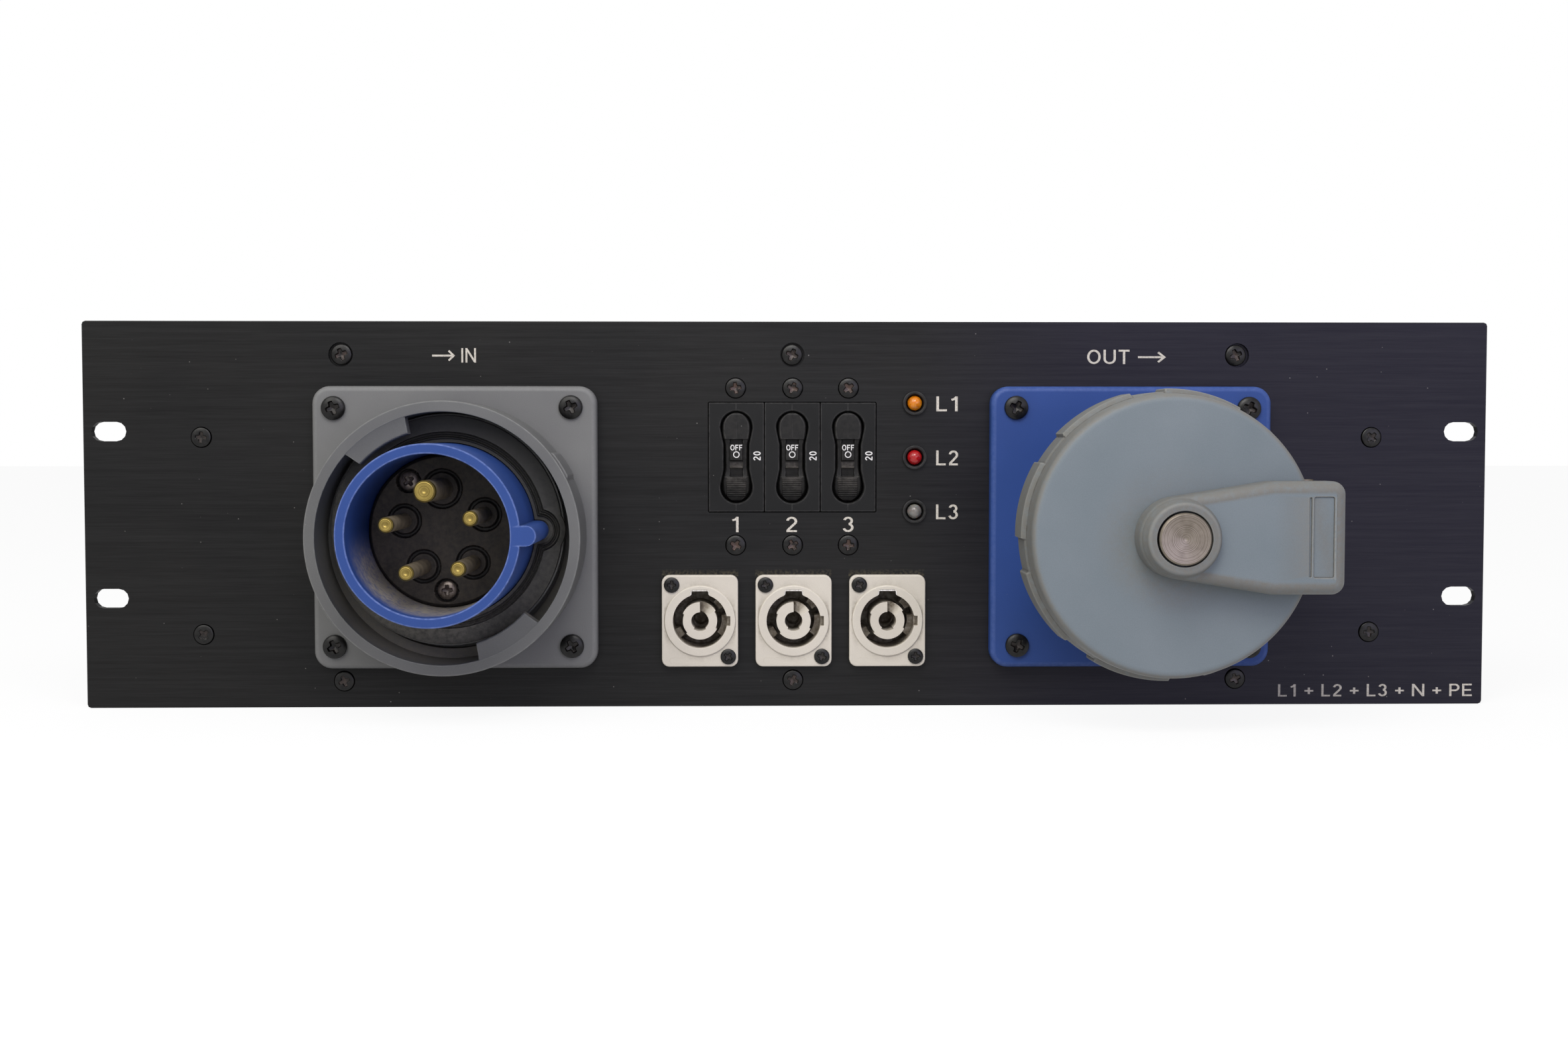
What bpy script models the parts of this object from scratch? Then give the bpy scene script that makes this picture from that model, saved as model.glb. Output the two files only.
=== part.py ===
"""Rack power distribution unit, three rack units high, as an assembly of separate parts.

The model stands on its lower edge.  X runs to the right, Y into the rack and Z up.
Lengths are in metres.  "Reach" is a height in front of the panel, "depth" is behind it.
The origin is in the middle of the unit's width and depth, on the surface it stands on.
"""

import bmesh
import bpy
from math import asin, cos, hypot, pi, radians, sin, sqrt
from mathutils import Vector

MM = 0.001

# Fits and roundness
GAP = 0.3 * MM                 # between two seated pieces
PIVOT_GAP = 0.3 * MM           # between a pin and its bore
ROUND_STEPS = 28               # sides of a large round
MEDIUM_STEPS = 20              # sides of a round the size of a thumb
SMALL_STEPS = 12               # sides of a small round

# Front panel, to the 19-inch rack standard
PANEL_WIDTH = 482.6 * MM
PANEL_HEIGHT = 132.56 * MM
PANEL_THICK = 3.2 * MM
PANEL_CORNER = 1.2 * MM
PANEL_CHAMFER = 0.35 * MM
RACK_SLOT_INSET = 8.74 * MM     # from the panel's end to the slot's centre
RACK_SLOT_SPACING_Z = 57.15 * MM
RACK_SLOT_LENGTH = 11.9 * MM
RACK_SLOT_WIDTH = 6.6 * MM

# Sinks for the three screws along the top
SCREW_ROW_X = (-153.6 * MM, 0.7 * MM, 154.2 * MM)
SCREW_TOP_DROP = 11.4 * MM
SINK_RADIUS = 4.2 * MM
SINK_DEPTH = 1.3 * MM

# Chassis and cover, folded from sheet
SHEET = 1.6 * MM
EAR_WIDTH = 25.4 * MM          # of the panel, past the cover on each side
CHASSIS_DEPTH = 203.2 * MM     # from the panel's front face to the back of the cover
CHASSIS_RELIEF = 0.4 * MM      # above and below the chassis, inside the panel's height
FRONT_FLANGE_SIDE = 24.0 * MM
FRONT_WINDOW_MARGIN = 2.5 * MM # round the breakers and the sockets
TOP_FLANGE = 10.0 * MM
COVER_LIP = 14.0 * MM
FOLD_RADIUS = 1.5 * MM
TOOL_SPARE = 10.0 * MM         # by which a cutting shape runs past what it cuts

# Flanges shared by the inlet and the receptacle
CONNECTOR_Z = 62.1 * MM
INLET_X = -114.3 * MM
RECEPTACLE_X = 116.8 * MM
FLANGE_SIZE = 96.4 * MM
FLANGE_THICK = 5.0 * MM
FLANGE_CORNER = 6.0 * MM
FLANGE_EDGE_ROUND = 1.8 * MM
SPIGOT_WALL = 3.0 * MM
SPIGOT_DEPTH = 16.0 * MM

# Inlet: shroud, insert and pins
SHROUD_RADIUS = 28.85 * MM
SHROUD_WALL = 3.25 * MM
SHROUD_REACH = 61.0 * MM
SHROUD_DEPTH = 22.0 * MM
SHROUD_EDGE = 0.6 * MM
KEY_WIDTH = 6.5 * MM
KEY_RISE = 4.9 * MM
INSERT_REACH = 25.0 * MM
INSERT_DEPTH = 20.0 * MM
PIN_CIRCLE = 13.9 * MM
PIN_TURN = radians(94.4)       # the earth pin's place, seen from the front
PIN_COUNT = 5
PIN_RADIUS = 2.5 * MM
EARTH_PIN_RADIUS = 3.5 * MM
PIN_REACH = 58.0 * MM
EARTH_PIN_REACH = 59.5 * MM
PIN_CHAMFER = 0.6 * MM
PIN_DIMPLE = 0.55 * MM
TERMINAL_RADIUS = 4.3 * MM
TERMINAL_LENGTH = 12.0 * MM

# Inlet: neck, seal and lock ring
NECK_RADIUS = 35.5 * MM
NECK_REACH = 17.0 * MM
COLLAR_PLAY = 0.5 * MM         # the ring's lip hooks behind the collar by this when centred
COLLAR_THICK = 3.0 * MM
SEAL_BODY = 1.7 * MM
SEAL_RIB = 1.3 * MM
SEAL_RADIUS = 38.0 * MM
SEAL_LIP_START = 1.3 * MM      # from the shroud to the first lip's crest
SEAL_LIP_STEP = 1.1 * MM       # from a crest to the next hollow
SEAL_RIM = 0.8 * MM
SIGHT_INNER = 34.3 * MM
SIGHT_OUTER = 37.2 * MM
SIGHT_CENTRE = radians(-16.0)
SIGHT_SPAN = radians(6.0)
RING_DROP = 2.3 * MM           # the loose ring hangs on its neck by this much
RING_RADIUS = 45.0 * MM
RING_WALL = 3.6 * MM
RING_REACH = 33.0 * MM
RING_BACK = 8.0 * MM
RING_LIP = 4.0 * MM
RING_EDGE = 0.8 * MM
LUG_INNER = 35.8 * MM
LUG_THICK = 5.0 * MM
LUG_SPAN = radians(31.0)
LUG_CENTRES = (radians(122.5), radians(302.5))
GRIP_RISE = 0.7 * MM
GRIP_SPAN = radians(12.0)
GRIP_CENTRES = (radians(32.0), radians(212.0))

# Receptacle: barrel and insert
BARREL_BORE = 30.2 * MM
BARREL_RADIUS = 35.6 * MM
BARREL_REACH = 58.0 * MM
SLEEVE_RADIUS = 24.9 * MM
SLEEVE_REACH = 55.0 * MM
SLEEVE_FOOT_REACH = 8.7 * MM
SLEEVE_DEPTH = 16.0 * MM
CONTACT_WALL = 0.8 * MM
CONTACT_SLACK = 0.25 * MM      # between a pin and the contact that takes it
CONTACT_SINK = 3.0 * MM
RAMP_RISE = 3.7 * MM
RAMP_REACH = 50.0 * MM
RAMP_THICK = 3.0 * MM
RAMP_SPAN = radians(33.0)
RAMP_CENTRES = (radians(38.5), radians(218.5))

# Lid: cap, gasket, arm, rivet and hinge
CAP_REACH = 70.0 * MM
CAP_FACE_RADIUS = 39.0 * MM
CAP_SHOULDER = 5.0 * MM
CAP_WALL = 3.5 * MM
CAP_BORE = 42.0 * MM
CAP_BAND_RADIUS = 46.0 * MM
CAP_BAND_REACH = 59.5 * MM
CAP_SKIRT_REACH = 46.0 * MM
CAP_NOTCH_DEPTH = 1.0 * MM
CAP_NOTCH_COUNT = 8
CAP_NOTCH_SPAN = radians(13.5)
CAP_NOTCH_START = radians(8.2)
CAP_LUG_INNER = 37.0 * MM
CAP_LUG_SPAN = radians(28.0)
CAP_LUG_THICK = 3.0 * MM
CAP_LUG_LIFT = 0.6 * MM
GASKET_INNER = 27.0 * MM
GASKET_OUTER = 38.0 * MM
GASKET_CLEAR = 0.4 * MM
ARM_THICK = 9.6 * MM
ARM_WALL = 2.6 * MM
ARM_NOSE_RADIUS = 12.6 * MM
ARM_HALF_WIDTH = 17.3 * MM
ARM_FLARE_X = 28.0 * MM
ARM_END_X = 50.3 * MM
ARM_CORNER = 4.0 * MM
ARM_EDGE = 1.6 * MM
ARM_COLLAR_RADIUS = 10.9 * MM
ARM_COLLAR_RISE = 3.4 * MM
WINDOW_HALF_HEIGHT = 13.3 * MM
WINDOW_WIDTH = 7.0 * MM
WINDOW_EDGE = 1.6 * MM
WINDOW_DEPTH = 0.7 * MM
RIVET_HEAD_RADIUS = 8.0 * MM
RIVET_HEAD_CLEAR = 0.5 * MM
RIVET_PROUD = 1.0 * MM
RIVET_SHANK = 4.0 * MM
RIVET_TAIL_RADIUS = 7.5 * MM
RIVET_TAIL_THICK = 2.5 * MM
LEG_GAP = 1.0 * MM             # between the cap's band and the arm's leg
LEG_STEP_RISE = 12.0 * MM      # above the hinge axis, where the leg narrows
HINGE_X = 54.0 * MM            # from the receptacle's axis
HINGE_REACH = 22.0 * MM
KNUCKLE_RADIUS = 5.0 * MM
KNUCKLE_HALF = 8.0 * MM
EAR_THICK = 7.0 * MM
EAR_FOOT = 8.0 * MM
EAR_FOOT_INSET = 1.0 * MM      # from the flange's edge
HINGE_PIN_RADIUS = 2.0 * MM
HINGE_PIN_HEAD = 3.6 * MM
HINGE_PIN_HEAD_THICK = 1.2 * MM

# Circuit breakers
BREAKER_X = 0.7 * MM
BREAKER_PITCH = 19.25 * MM
BREAKER_COUNT = 3
BREAKER_FACE_HEIGHT = 37.5 * MM
BREAKER_Z = 86.05 * MM
BREAKER_BODY_HEIGHT = 60.0 * MM
BREAKER_BODY_DROP = 3.25 * MM  # of the body's middle, and its two screws', below the face's
BREAKER_BODY_DEPTH = 46.0 * MM
BREAKER_TAB_WIDTH = 6.3 * MM
BREAKER_TAB_THICK = 1.6 * MM
BREAKER_TAB_LENGTH = 9.0 * MM
BREAKER_TAB_RISE = 16.0 * MM
ROCKER_LOBE = 5.5 * MM         # radius of the recess at its two ends
ROCKER_WAIST = 4.35 * MM       # its half width in the middle
ROCKER_LOBE_OFFSET = 10.35 * MM
ROCKER_CLEAR = 0.4 * MM
ROCKER_SINK = 0.5 * MM
ROCKER_THROW = radians(14.0)
ROCKER_PIVOT_DEPTH = 3.0 * MM
ROCKER_HUB = 5.0 * MM
ROCKER_RECESS = 11.0 * MM

# Indicator lamps
LAMP_X = 42.8 * MM
LAMP_DROP = 0.05 * MM          # of the middle lamp below the breakers' middle
LAMP_PITCH = 18.6 * MM
LAMP_COUNT = 3
LAMP_BEZEL_RADIUS = 4.1 * MM
LAMP_BEZEL_REACH = 1.3 * MM
LAMP_BARREL_RADIUS = 3.5 * MM
LAMP_NUT_RADIUS = 5.2 * MM
LAMP_NUT_THICK = 2.4 * MM
LAMP_BARREL_DEPTH = 11.0 * MM
LAMP_LENS_RADIUS = 2.5 * MM
LAMP_LENS_REACH = 2.9 * MM

# Outlet sockets
SOCKET_X = (-31.1 * MM, 1.1 * MM, 33.4 * MM)
SOCKET_Z = 29.8 * MM
SOCKET_WIDTH = 26.2 * MM
SOCKET_HEIGHT = 31.6 * MM
SOCKET_FLANGE_THICK = 2.2 * MM
SOCKET_CORNER = 2.6 * MM
SOCKET_EDGE_ROUND = 0.7 * MM
SOCKET_RIM_RADIUS = 12.3 * MM
SOCKET_RIM_RISE = 0.6 * MM
SOCKET_BARREL_RADIUS = 11.9 * MM
SOCKET_MOUTH_RADIUS = 9.4 * MM
SOCKET_MOUTH_DEPTH = 19.0 * MM
SOCKET_BACK_DEPTH = 27.0 * MM
SOCKET_CORE_RADIUS = 5.9 * MM
SOCKET_CORE_SINK = 0.5 * MM
SOCKET_CORE_BORE = 3.05 * MM
SOCKET_NOTCH_WIDTH = 6.4 * MM
SOCKET_NOTCH_RADIUS = 11.1 * MM
SOCKET_NOTCH_DEPTH = 9.0 * MM
SOCKET_KEY_WIDTH = 3.3 * MM
SOCKET_KEY_RADIUS = 10.9 * MM
LATCH_SHEET = 0.5 * MM
LATCH_LENGTH = 7.5 * MM
SOCKET_TAB_WIDTH = 4.8 * MM
SOCKET_TAB_THICK = 0.8 * MM
SOCKET_TAB_LENGTH = 8.0 * MM
SOCKET_TAB_RISE = 6.5 * MM

# Wiring: the feeds cross behind the breakers, in layers that never meet
WIRE_RADIUS = 2.0 * MM
WIRE_BEND = 14.0 * MM
WIRE_LAYER = 8.0 * MM
LOAD_LEAD = 11.0 * MM          # from the breakers' tabs to the first layer
TAP_LEAD = 10.0 * MM           # from the taps' layer to the nearest feeds
TAP_UNDERPASS = 40.0 * MM
BAR_HEIGHT = 4.0 * MM
BAR_THICK = 1.6 * MM
BAR_OVERHANG = 12.6 * MM
BAR_FOOT = 14.0 * MM
BAR_FOOT_WIDTH = 8.0 * MM

# Worked-out places
REACH_TOTAL = CAP_REACH + GAP + ARM_THICK + ARM_COLLAR_RISE + RIVET_PROUD
PANEL_FRONT_Y = (REACH_TOTAL - CHASSIS_DEPTH) / 2.0
SHROUD_BORE = SHROUD_RADIUS - SHROUD_WALL
SPIGOT_RADIUS = BARREL_BORE + SPIGOT_WALL
PANEL_HOLE_RADIUS = SPIGOT_RADIUS + GAP
RING_BORE = RING_RADIUS - RING_WALL
RING_LIP_RADIUS = NECK_RADIUS + GAP + RING_DROP
SEAT_RADIUS = RING_LIP_RADIUS + COLLAR_PLAY
SEAL_BACK = NECK_REACH + COLLAR_THICK + GAP
ARM_BACK = CAP_REACH + GAP
ARM_FRONT = ARM_BACK + ARM_THICK
BREAKER_WIDTH = BREAKER_PITCH - GAP
BREAKER_BODY_Z = BREAKER_Z - BREAKER_BODY_DROP
LAMP_Z = [BREAKER_Z - LAMP_DROP + ((LAMP_COUNT - 1) / 2.0 - k) * LAMP_PITCH
          for k in range(LAMP_COUNT)]
RACK_SLOT_SPACING_X = PANEL_WIDTH - 2.0 * RACK_SLOT_INSET
CHASSIS_WIDTH = PANEL_WIDTH - 2.0 * EAR_WIDTH
LOAD_DEPTH = BREAKER_BODY_DEPTH + BREAKER_TAB_LENGTH + LOAD_LEAD
TAP_DEPTH = LOAD_DEPTH + WIRE_LAYER
FEED_NEAR = TAP_DEPTH + TAP_LEAD
FEED_MIDDLE = FEED_NEAR + WIRE_LAYER
FEED_FAR = FEED_MIDDLE + WIRE_LAYER
RETURN_DEPTH = FEED_FAR + WIRE_LAYER


# Scene and materials

for leftover in list(bpy.data.objects):
    bpy.data.objects.remove(leftover)


def finish(name, colour, roughness, metallic=0.0):
    """A Principled material with one colour, roughness and metallic value."""
    material = bpy.data.materials.new(name)
    material.use_nodes = True
    shader = material.node_tree.nodes["Principled BSDF"]
    shader.inputs["Base Color"].default_value = (*colour, 1.0)
    shader.inputs["Roughness"].default_value = roughness
    shader.inputs["Metallic"].default_value = metallic
    return material


ANODISED = finish("black_anodised_panel", (0.018, 0.018, 0.020), 0.45, 0.6)
ENAMEL = finish("black_enamelled_sheet", (0.020, 0.020, 0.021), 0.55)
GREY_NYLON = finish("grey_nylon", (0.17, 0.18, 0.18), 0.55)
BLUE_NYLON = finish("blue_nylon", (0.045, 0.11, 0.42), 0.50)
BLACK_NYLON = finish("black_nylon", (0.012, 0.012, 0.012), 0.50)
BLACK_RUBBER = finish("black_rubber", (0.010, 0.010, 0.010), 0.80)
PALE_NYLON = finish("pale_nylon", (0.50, 0.49, 0.45), 0.50)
BRASS = finish("brass", (0.55, 0.40, 0.14), 0.35, 1.0)
STEEL = finish("turned_steel", (0.48, 0.46, 0.43), 0.32, 1.0)
WIRE_JACKET = finish("wire_jacket", (0.02, 0.02, 0.02), 0.60)
LENSES = (finish("amber_lens", (0.80, 0.30, 0.02), 0.25),
          finish("red_lens", (0.55, 0.02, 0.02), 0.25),
          finish("clear_lens", (0.60, 0.60, 0.62), 0.20))


# Building blocks

def frame(name, x, reach, z, parent=None):
    """An empty that carries a group of parts; reach is its height before the panel."""
    empty = bpy.data.objects.new(name, None)
    bpy.context.collection.objects.link(empty)
    empty.location = (x, -reach, z)
    empty.parent = parent
    return empty


def solid(name, bm, material, parent, smooth=35.0):
    """Turn a bmesh into a named object, with its faces pointing outwards."""
    bmesh.ops.remove_doubles(bm, verts=bm.verts, dist=1e-7)
    bmesh.ops.recalc_face_normals(bm, faces=bm.faces)
    mesh = bpy.data.meshes.new(name)
    bm.to_mesh(mesh)
    bm.free()
    mesh.shade_smooth()
    mesh.set_sharp_from_angle(angle=radians(smooth))
    piece = bpy.data.objects.new(name, mesh)
    bpy.context.collection.objects.link(piece)
    piece.parent = parent
    piece.data.materials.append(material)
    return piece


def loft(name, rings, material, parent):
    """Skin a row of point rings of equal length and cap both ends."""
    bm = bmesh.new()
    rows = [[bm.verts.new(point) for point in ring] for ring in rings]
    count = len(rows[0])
    for low, high in zip(rows, rows[1:]):
        for i in range(count):
            j = (i + 1) % count
            bm.faces.new((low[i], low[j], high[j], high[i]))
    bm.faces.new(rows[0])
    bm.faces.new(rows[-1])
    return solid(name, bm, material, parent)


def turned(name, profile, material, parent, steps=ROUND_STEPS):
    """Turn a closed profile of (radius, reach) points about the Y axis."""
    bm = bmesh.new()
    rows = []
    for k in range(steps):
        angle = 2.0 * pi * k / steps
        rows.append([bm.verts.new((r * cos(angle), -reach, r * sin(angle)))
                     for r, reach in profile])
    count = len(profile)
    for k in range(steps):
        near, far = rows[k], rows[(k + 1) % steps]
        for i in range(count):
            j = (i + 1) % count
            if profile[i][0] > 0.0 or profile[j][0] > 0.0:
                bm.faces.new((near[i], near[j], far[j], far[i]))
    return solid(name, bm, material, parent)


def prism(name, outline, back, front, material, parent):
    """Extrude an (x, z) outline from one reach to another."""
    return loft(name, [[(x, -reach, z) for x, z in outline] for reach in (back, front)],
                material, parent)


def box(name, low, high, material, parent):
    """A block between two corners given as (x, reach, z)."""
    outline = [(low[0], low[2]), (high[0], low[2]), (high[0], high[2]), (low[0], high[2])]
    return prism(name, outline, low[1], high[1], material, parent)


def arc(centre, radius, start, end, steps):
    """Points on an arc in a plane, both ends included."""
    return [(centre[0] + radius * cos(start + (end - start) * k / steps),
             centre[1] + radius * sin(start + (end - start) * k / steps))
            for k in range(steps + 1)]


def circle(radius, steps=SMALL_STEPS, centre=(0.0, 0.0)):
    """Points on a whole circle, without repeating the first one."""
    return arc(centre, radius, 0.0, 2.0 * pi, steps)[:-1]


def rounded_rectangle(width, height, corner, steps=5):
    """Outline of a rectangle with round corners, about the origin."""
    x, z = width / 2.0 - corner, height / 2.0 - corner
    points = []
    for quarter, (cx, cz) in enumerate(((x, z), (-x, z), (-x, -z), (x, -z))):
        start = quarter * pi / 2.0
        points += arc((cx, cz), corner, start, start + pi / 2.0, steps)
    return points


def stadium(length, width, steps=6):
    """Outline of a slot with round ends that lies along X."""
    half, r = (length - width) / 2.0, width / 2.0
    return (arc((half, 0.0), r, -pi / 2.0, pi / 2.0, steps)
            + arc((-half, 0.0), r, pi / 2.0, 1.5 * pi, steps))


def sector(inner, outer, centre, span, steps=6):
    """Outline of a piece of a ring between two radii."""
    start, end = centre - span / 2.0, centre + span / 2.0
    return arc((0.0, 0.0), outer, start, end, steps) + arc((0.0, 0.0), inner, end, start, steps)


def soft_plate(name, width, height, corner, back, front, edge, material, parent, steps=5):
    """A rounded rectangular plate whose front edge is rolled over."""
    rings = []
    levels = [(back, 0.0)] + [(front - edge * (1.0 - sin(a)), edge * (1.0 - cos(a)))
                              for a in (0.0, pi / 4.0, pi / 2.0)]
    for reach, inset in levels:
        outline = rounded_rectangle(width - 2.0 * inset, height - 2.0 * inset,
                                    corner - inset, steps)
        rings.append([(x, -reach, z) for x, z in outline])
    return loft(name, rings, material, parent)


def moved(points, x, z):
    """An outline moved in its plane."""
    return [(px + x, pz + z) for px, pz in points]


def as_tool(piece):
    """Mark a shape as a tool: it shapes another piece and is not one itself."""
    piece.hide_render = True
    piece.display_type = "WIRE"
    return piece


def shape(target, operation, *tools):
    """Cut tools from a piece, join them to it or keep what they share."""
    for tool in tools:
        as_tool(tool)
        modifier = target.modifiers.new(tool.name, "BOOLEAN")
        modifier.operation = operation
        modifier.solver = "EXACT"
        modifier.object = tool


def on_circle(radius, angle):
    """A point on a circle, as x and z."""
    return radius * cos(angle), radius * sin(angle)


# Frames that carry the groups

datum = frame("panel_face", 0.0, -PANEL_FRONT_Y, 0.0)
inlet = frame("inlet_axis", INLET_X, 0.0, CONNECTOR_Z, datum)
receptacle = frame("receptacle_axis", RECEPTACLE_X, 0.0, CONNECTOR_Z, datum)
ring_axis = frame("lock_ring_axis", 0.0, 0.0, -RING_DROP, inlet)
hinge_axis = frame("lid_hinge_axis", HINGE_X, HINGE_REACH, 0.0, receptacle)
cap_axis = frame("cap_axis", -HINGE_X, -HINGE_REACH, 0.0, hinge_axis)


# Front panel

def make_panel():
    """The plate with its rack slots, cut-outs and screw sinks."""
    panel_middle = frame("panel_middle", 0.0, 0.0, PANEL_HEIGHT / 2.0, datum)
    panel = soft_plate("front_panel", PANEL_WIDTH, PANEL_HEIGHT, PANEL_CORNER, -PANEL_THICK,
                       0.0, PANEL_CHAMFER, ANODISED, panel_middle, 2)
    through = (-PANEL_THICK - MM, MM)
    cuts = []

    def hole(name, outline, depths=through):
        cuts.append(prism(name, outline, *depths, ANODISED, datum))

    for side in (-1, 1):
        for level in (-1, 1):
            place = (side * RACK_SLOT_SPACING_X / 2.0,
                     PANEL_HEIGHT / 2.0 + level * RACK_SLOT_SPACING_Z / 2.0)
            hole("cut_rack_slot", moved(stadium(RACK_SLOT_LENGTH, RACK_SLOT_WIDTH), *place))
    for x in (INLET_X, RECEPTACLE_X):
        hole("cut_connector", circle(PANEL_HOLE_RADIUS, ROUND_STEPS, (x, CONNECTOR_Z)))
    window_width = BREAKER_COUNT * BREAKER_PITCH + GAP
    hole("cut_breakers", moved(rounded_rectangle(window_width, BREAKER_FACE_HEIGHT + 2.0 * GAP,
                                                 0.4 * MM, 1), BREAKER_X, BREAKER_Z))
    for z in LAMP_Z:
        hole("cut_lamp", circle(LAMP_BARREL_RADIUS + GAP, SMALL_STEPS, (LAMP_X, z)))
    for x in SOCKET_X:
        hole("cut_socket", circle(SOCKET_BARREL_RADIUS + GAP, MEDIUM_STEPS, (x, SOCKET_Z)))
    for x in SCREW_ROW_X:
        hole("cut_sink", circle(SINK_RADIUS, MEDIUM_STEPS, (x, PANEL_HEIGHT - SCREW_TOP_DROP)),
             (-SINK_DEPTH, MM))
    shape(panel, "DIFFERENCE", *cuts)


make_panel()


# Chassis and cover

def make_chassis():
    """A folded tray with a flanged front frame and top flanges, and the cover over it."""
    low, high = CHASSIS_RELIEF, PANEL_HEIGHT - CHASSIS_RELIEF
    front = -PANEL_THICK - GAP
    half_cover = CHASSIS_WIDTH / 2.0
    half = half_cover - SHEET - GAP
    back = -CHASSIS_DEPTH + SHEET + GAP
    top = high - SHEET - GAP

    chassis = box("chassis", (-half, back, low), (half, front, top), ENAMEL, datum)
    fold = chassis.modifiers.new("folds", "BEVEL")
    fold.width = FOLD_RADIUS
    fold.segments = 2
    cavity = box("cut_cavity", (-half + SHEET, back + SHEET, low + SHEET),
                 (half - SHEET, front - SHEET, top - SHEET), ENAMEL, datum)
    mouth = box("cut_top", (-half + TOP_FLANGE, back + TOP_FLANGE, top / 2.0),
                (half - TOP_FLANGE, front - TOP_FLANGE, top + MM), ENAMEL, datum)
    window_low = SOCKET_Z - SOCKET_BARREL_RADIUS - FRONT_WINDOW_MARGIN
    window_high = BREAKER_BODY_Z + BREAKER_BODY_HEIGHT / 2.0 + FRONT_WINDOW_MARGIN
    window = box("cut_front", (-half + FRONT_FLANGE_SIDE, front - SHEET - MM, window_low),
                 (half - FRONT_FLANGE_SIDE, front + MM, window_high), ENAMEL, datum)
    shape(chassis, "DIFFERENCE", cavity, mouth, window)

    spare = TOOL_SPARE
    cover = box("cover", (-half_cover, -CHASSIS_DEPTH, high - COVER_LIP - spare),
                (half_cover, front + spare, high), ENAMEL, datum)
    fold = cover.modifiers.new("folds", "BEVEL")
    fold.width = FOLD_RADIUS
    fold.segments = 2
    inside = box("cut_cover", (-half_cover + SHEET, -CHASSIS_DEPTH + SHEET,
                               high - COVER_LIP - 2.0 * spare),
                 (half_cover - SHEET, front + 2.0 * spare, high - SHEET), ENAMEL, datum)
    trim = box("keep_cover", (-half_cover - spare, -CHASSIS_DEPTH - spare, high - COVER_LIP),
               (half_cover + spare, front, high + spare), ENAMEL, datum)
    shape(cover, "DIFFERENCE", inside)
    shape(cover, "INTERSECT", trim)


make_chassis()


# Inlet

def key_outline(offset):
    """Outline of the shroud's outer wall and key, grown by an offset, as radius by angle."""
    ring = SHROUD_RADIUS + offset
    half = KEY_WIDTH / 2.0 + offset
    tip = SHROUD_RADIUS + KEY_RISE - KEY_WIDTH / 2.0

    def radius(angle):
        x, z = cos(angle), sin(angle)
        if x <= 0.0 or abs(z) * tip > half:
            return ring
        reach = tip * x + sqrt(half * half - (tip * z) ** 2)
        if reach * x < tip:
            reach = half / max(abs(z), 1e-9)
        return max(ring, reach)

    return radius


def make_connector_flange(name, material, parent, neck):
    """A square flange with a turned neck; the neck's profile runs through the panel."""
    plate = soft_plate(name, FLANGE_SIZE, FLANGE_SIZE, FLANGE_CORNER, GAP, GAP + FLANGE_THICK,
                       FLANGE_EDGE_ROUND, material, parent)
    shape(plate, "UNION", turned(name + "_neck", neck, material, parent))
    return plate


def make_inlet():
    """Housing, shroud, insert, seal and lock ring of the inlet."""
    bore = SHROUD_RADIUS + GAP
    seat = NECK_REACH + COLLAR_THICK
    neck = [(bore - MM, -SPIGOT_DEPTH), (SPIGOT_RADIUS, -SPIGOT_DEPTH),
            (SPIGOT_RADIUS, GAP + MM), (NECK_RADIUS, GAP + MM), (NECK_RADIUS, NECK_REACH),
            (SEAT_RADIUS, NECK_REACH), (SEAT_RADIUS, seat), (bore - MM, seat)]
    housing = make_connector_flange("inlet_housing", GREY_NYLON, inlet, neck)
    shape(housing, "DIFFERENCE",
          prism("cut_inlet_bore", circle(bore, ROUND_STEPS), -SPIGOT_DEPTH - MM, seat + MM,
                GREY_NYLON, inlet))

    edge = SHROUD_EDGE
    shroud = turned("inlet_shroud",
                    [(SHROUD_BORE, -SHROUD_DEPTH), (SHROUD_RADIUS, -SHROUD_DEPTH),
                     (SHROUD_RADIUS, SHROUD_REACH - edge), (SHROUD_RADIUS - edge, SHROUD_REACH),
                     (SHROUD_BORE + edge, SHROUD_REACH), (SHROUD_BORE, SHROUD_REACH - edge)],
                    BLUE_NYLON, inlet)
    half = KEY_WIDTH / 2.0
    tip = SHROUD_RADIUS + KEY_RISE - half
    key = ([(SHROUD_RADIUS - SHROUD_WALL / 2.0, -half)]
           + arc((tip, 0.0), half, -pi / 2.0, pi / 2.0, 8)
           + [(SHROUD_RADIUS - SHROUD_WALL / 2.0, half)])
    shape(shroud, "UNION", prism("add_key", key, SEAL_BACK + SEAL_BODY + SEAL_RIB + GAP,
                                 SHROUD_REACH - edge, BLUE_NYLON, inlet))

    make_seal()
    make_lock_ring()
    make_inlet_insert()


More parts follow.
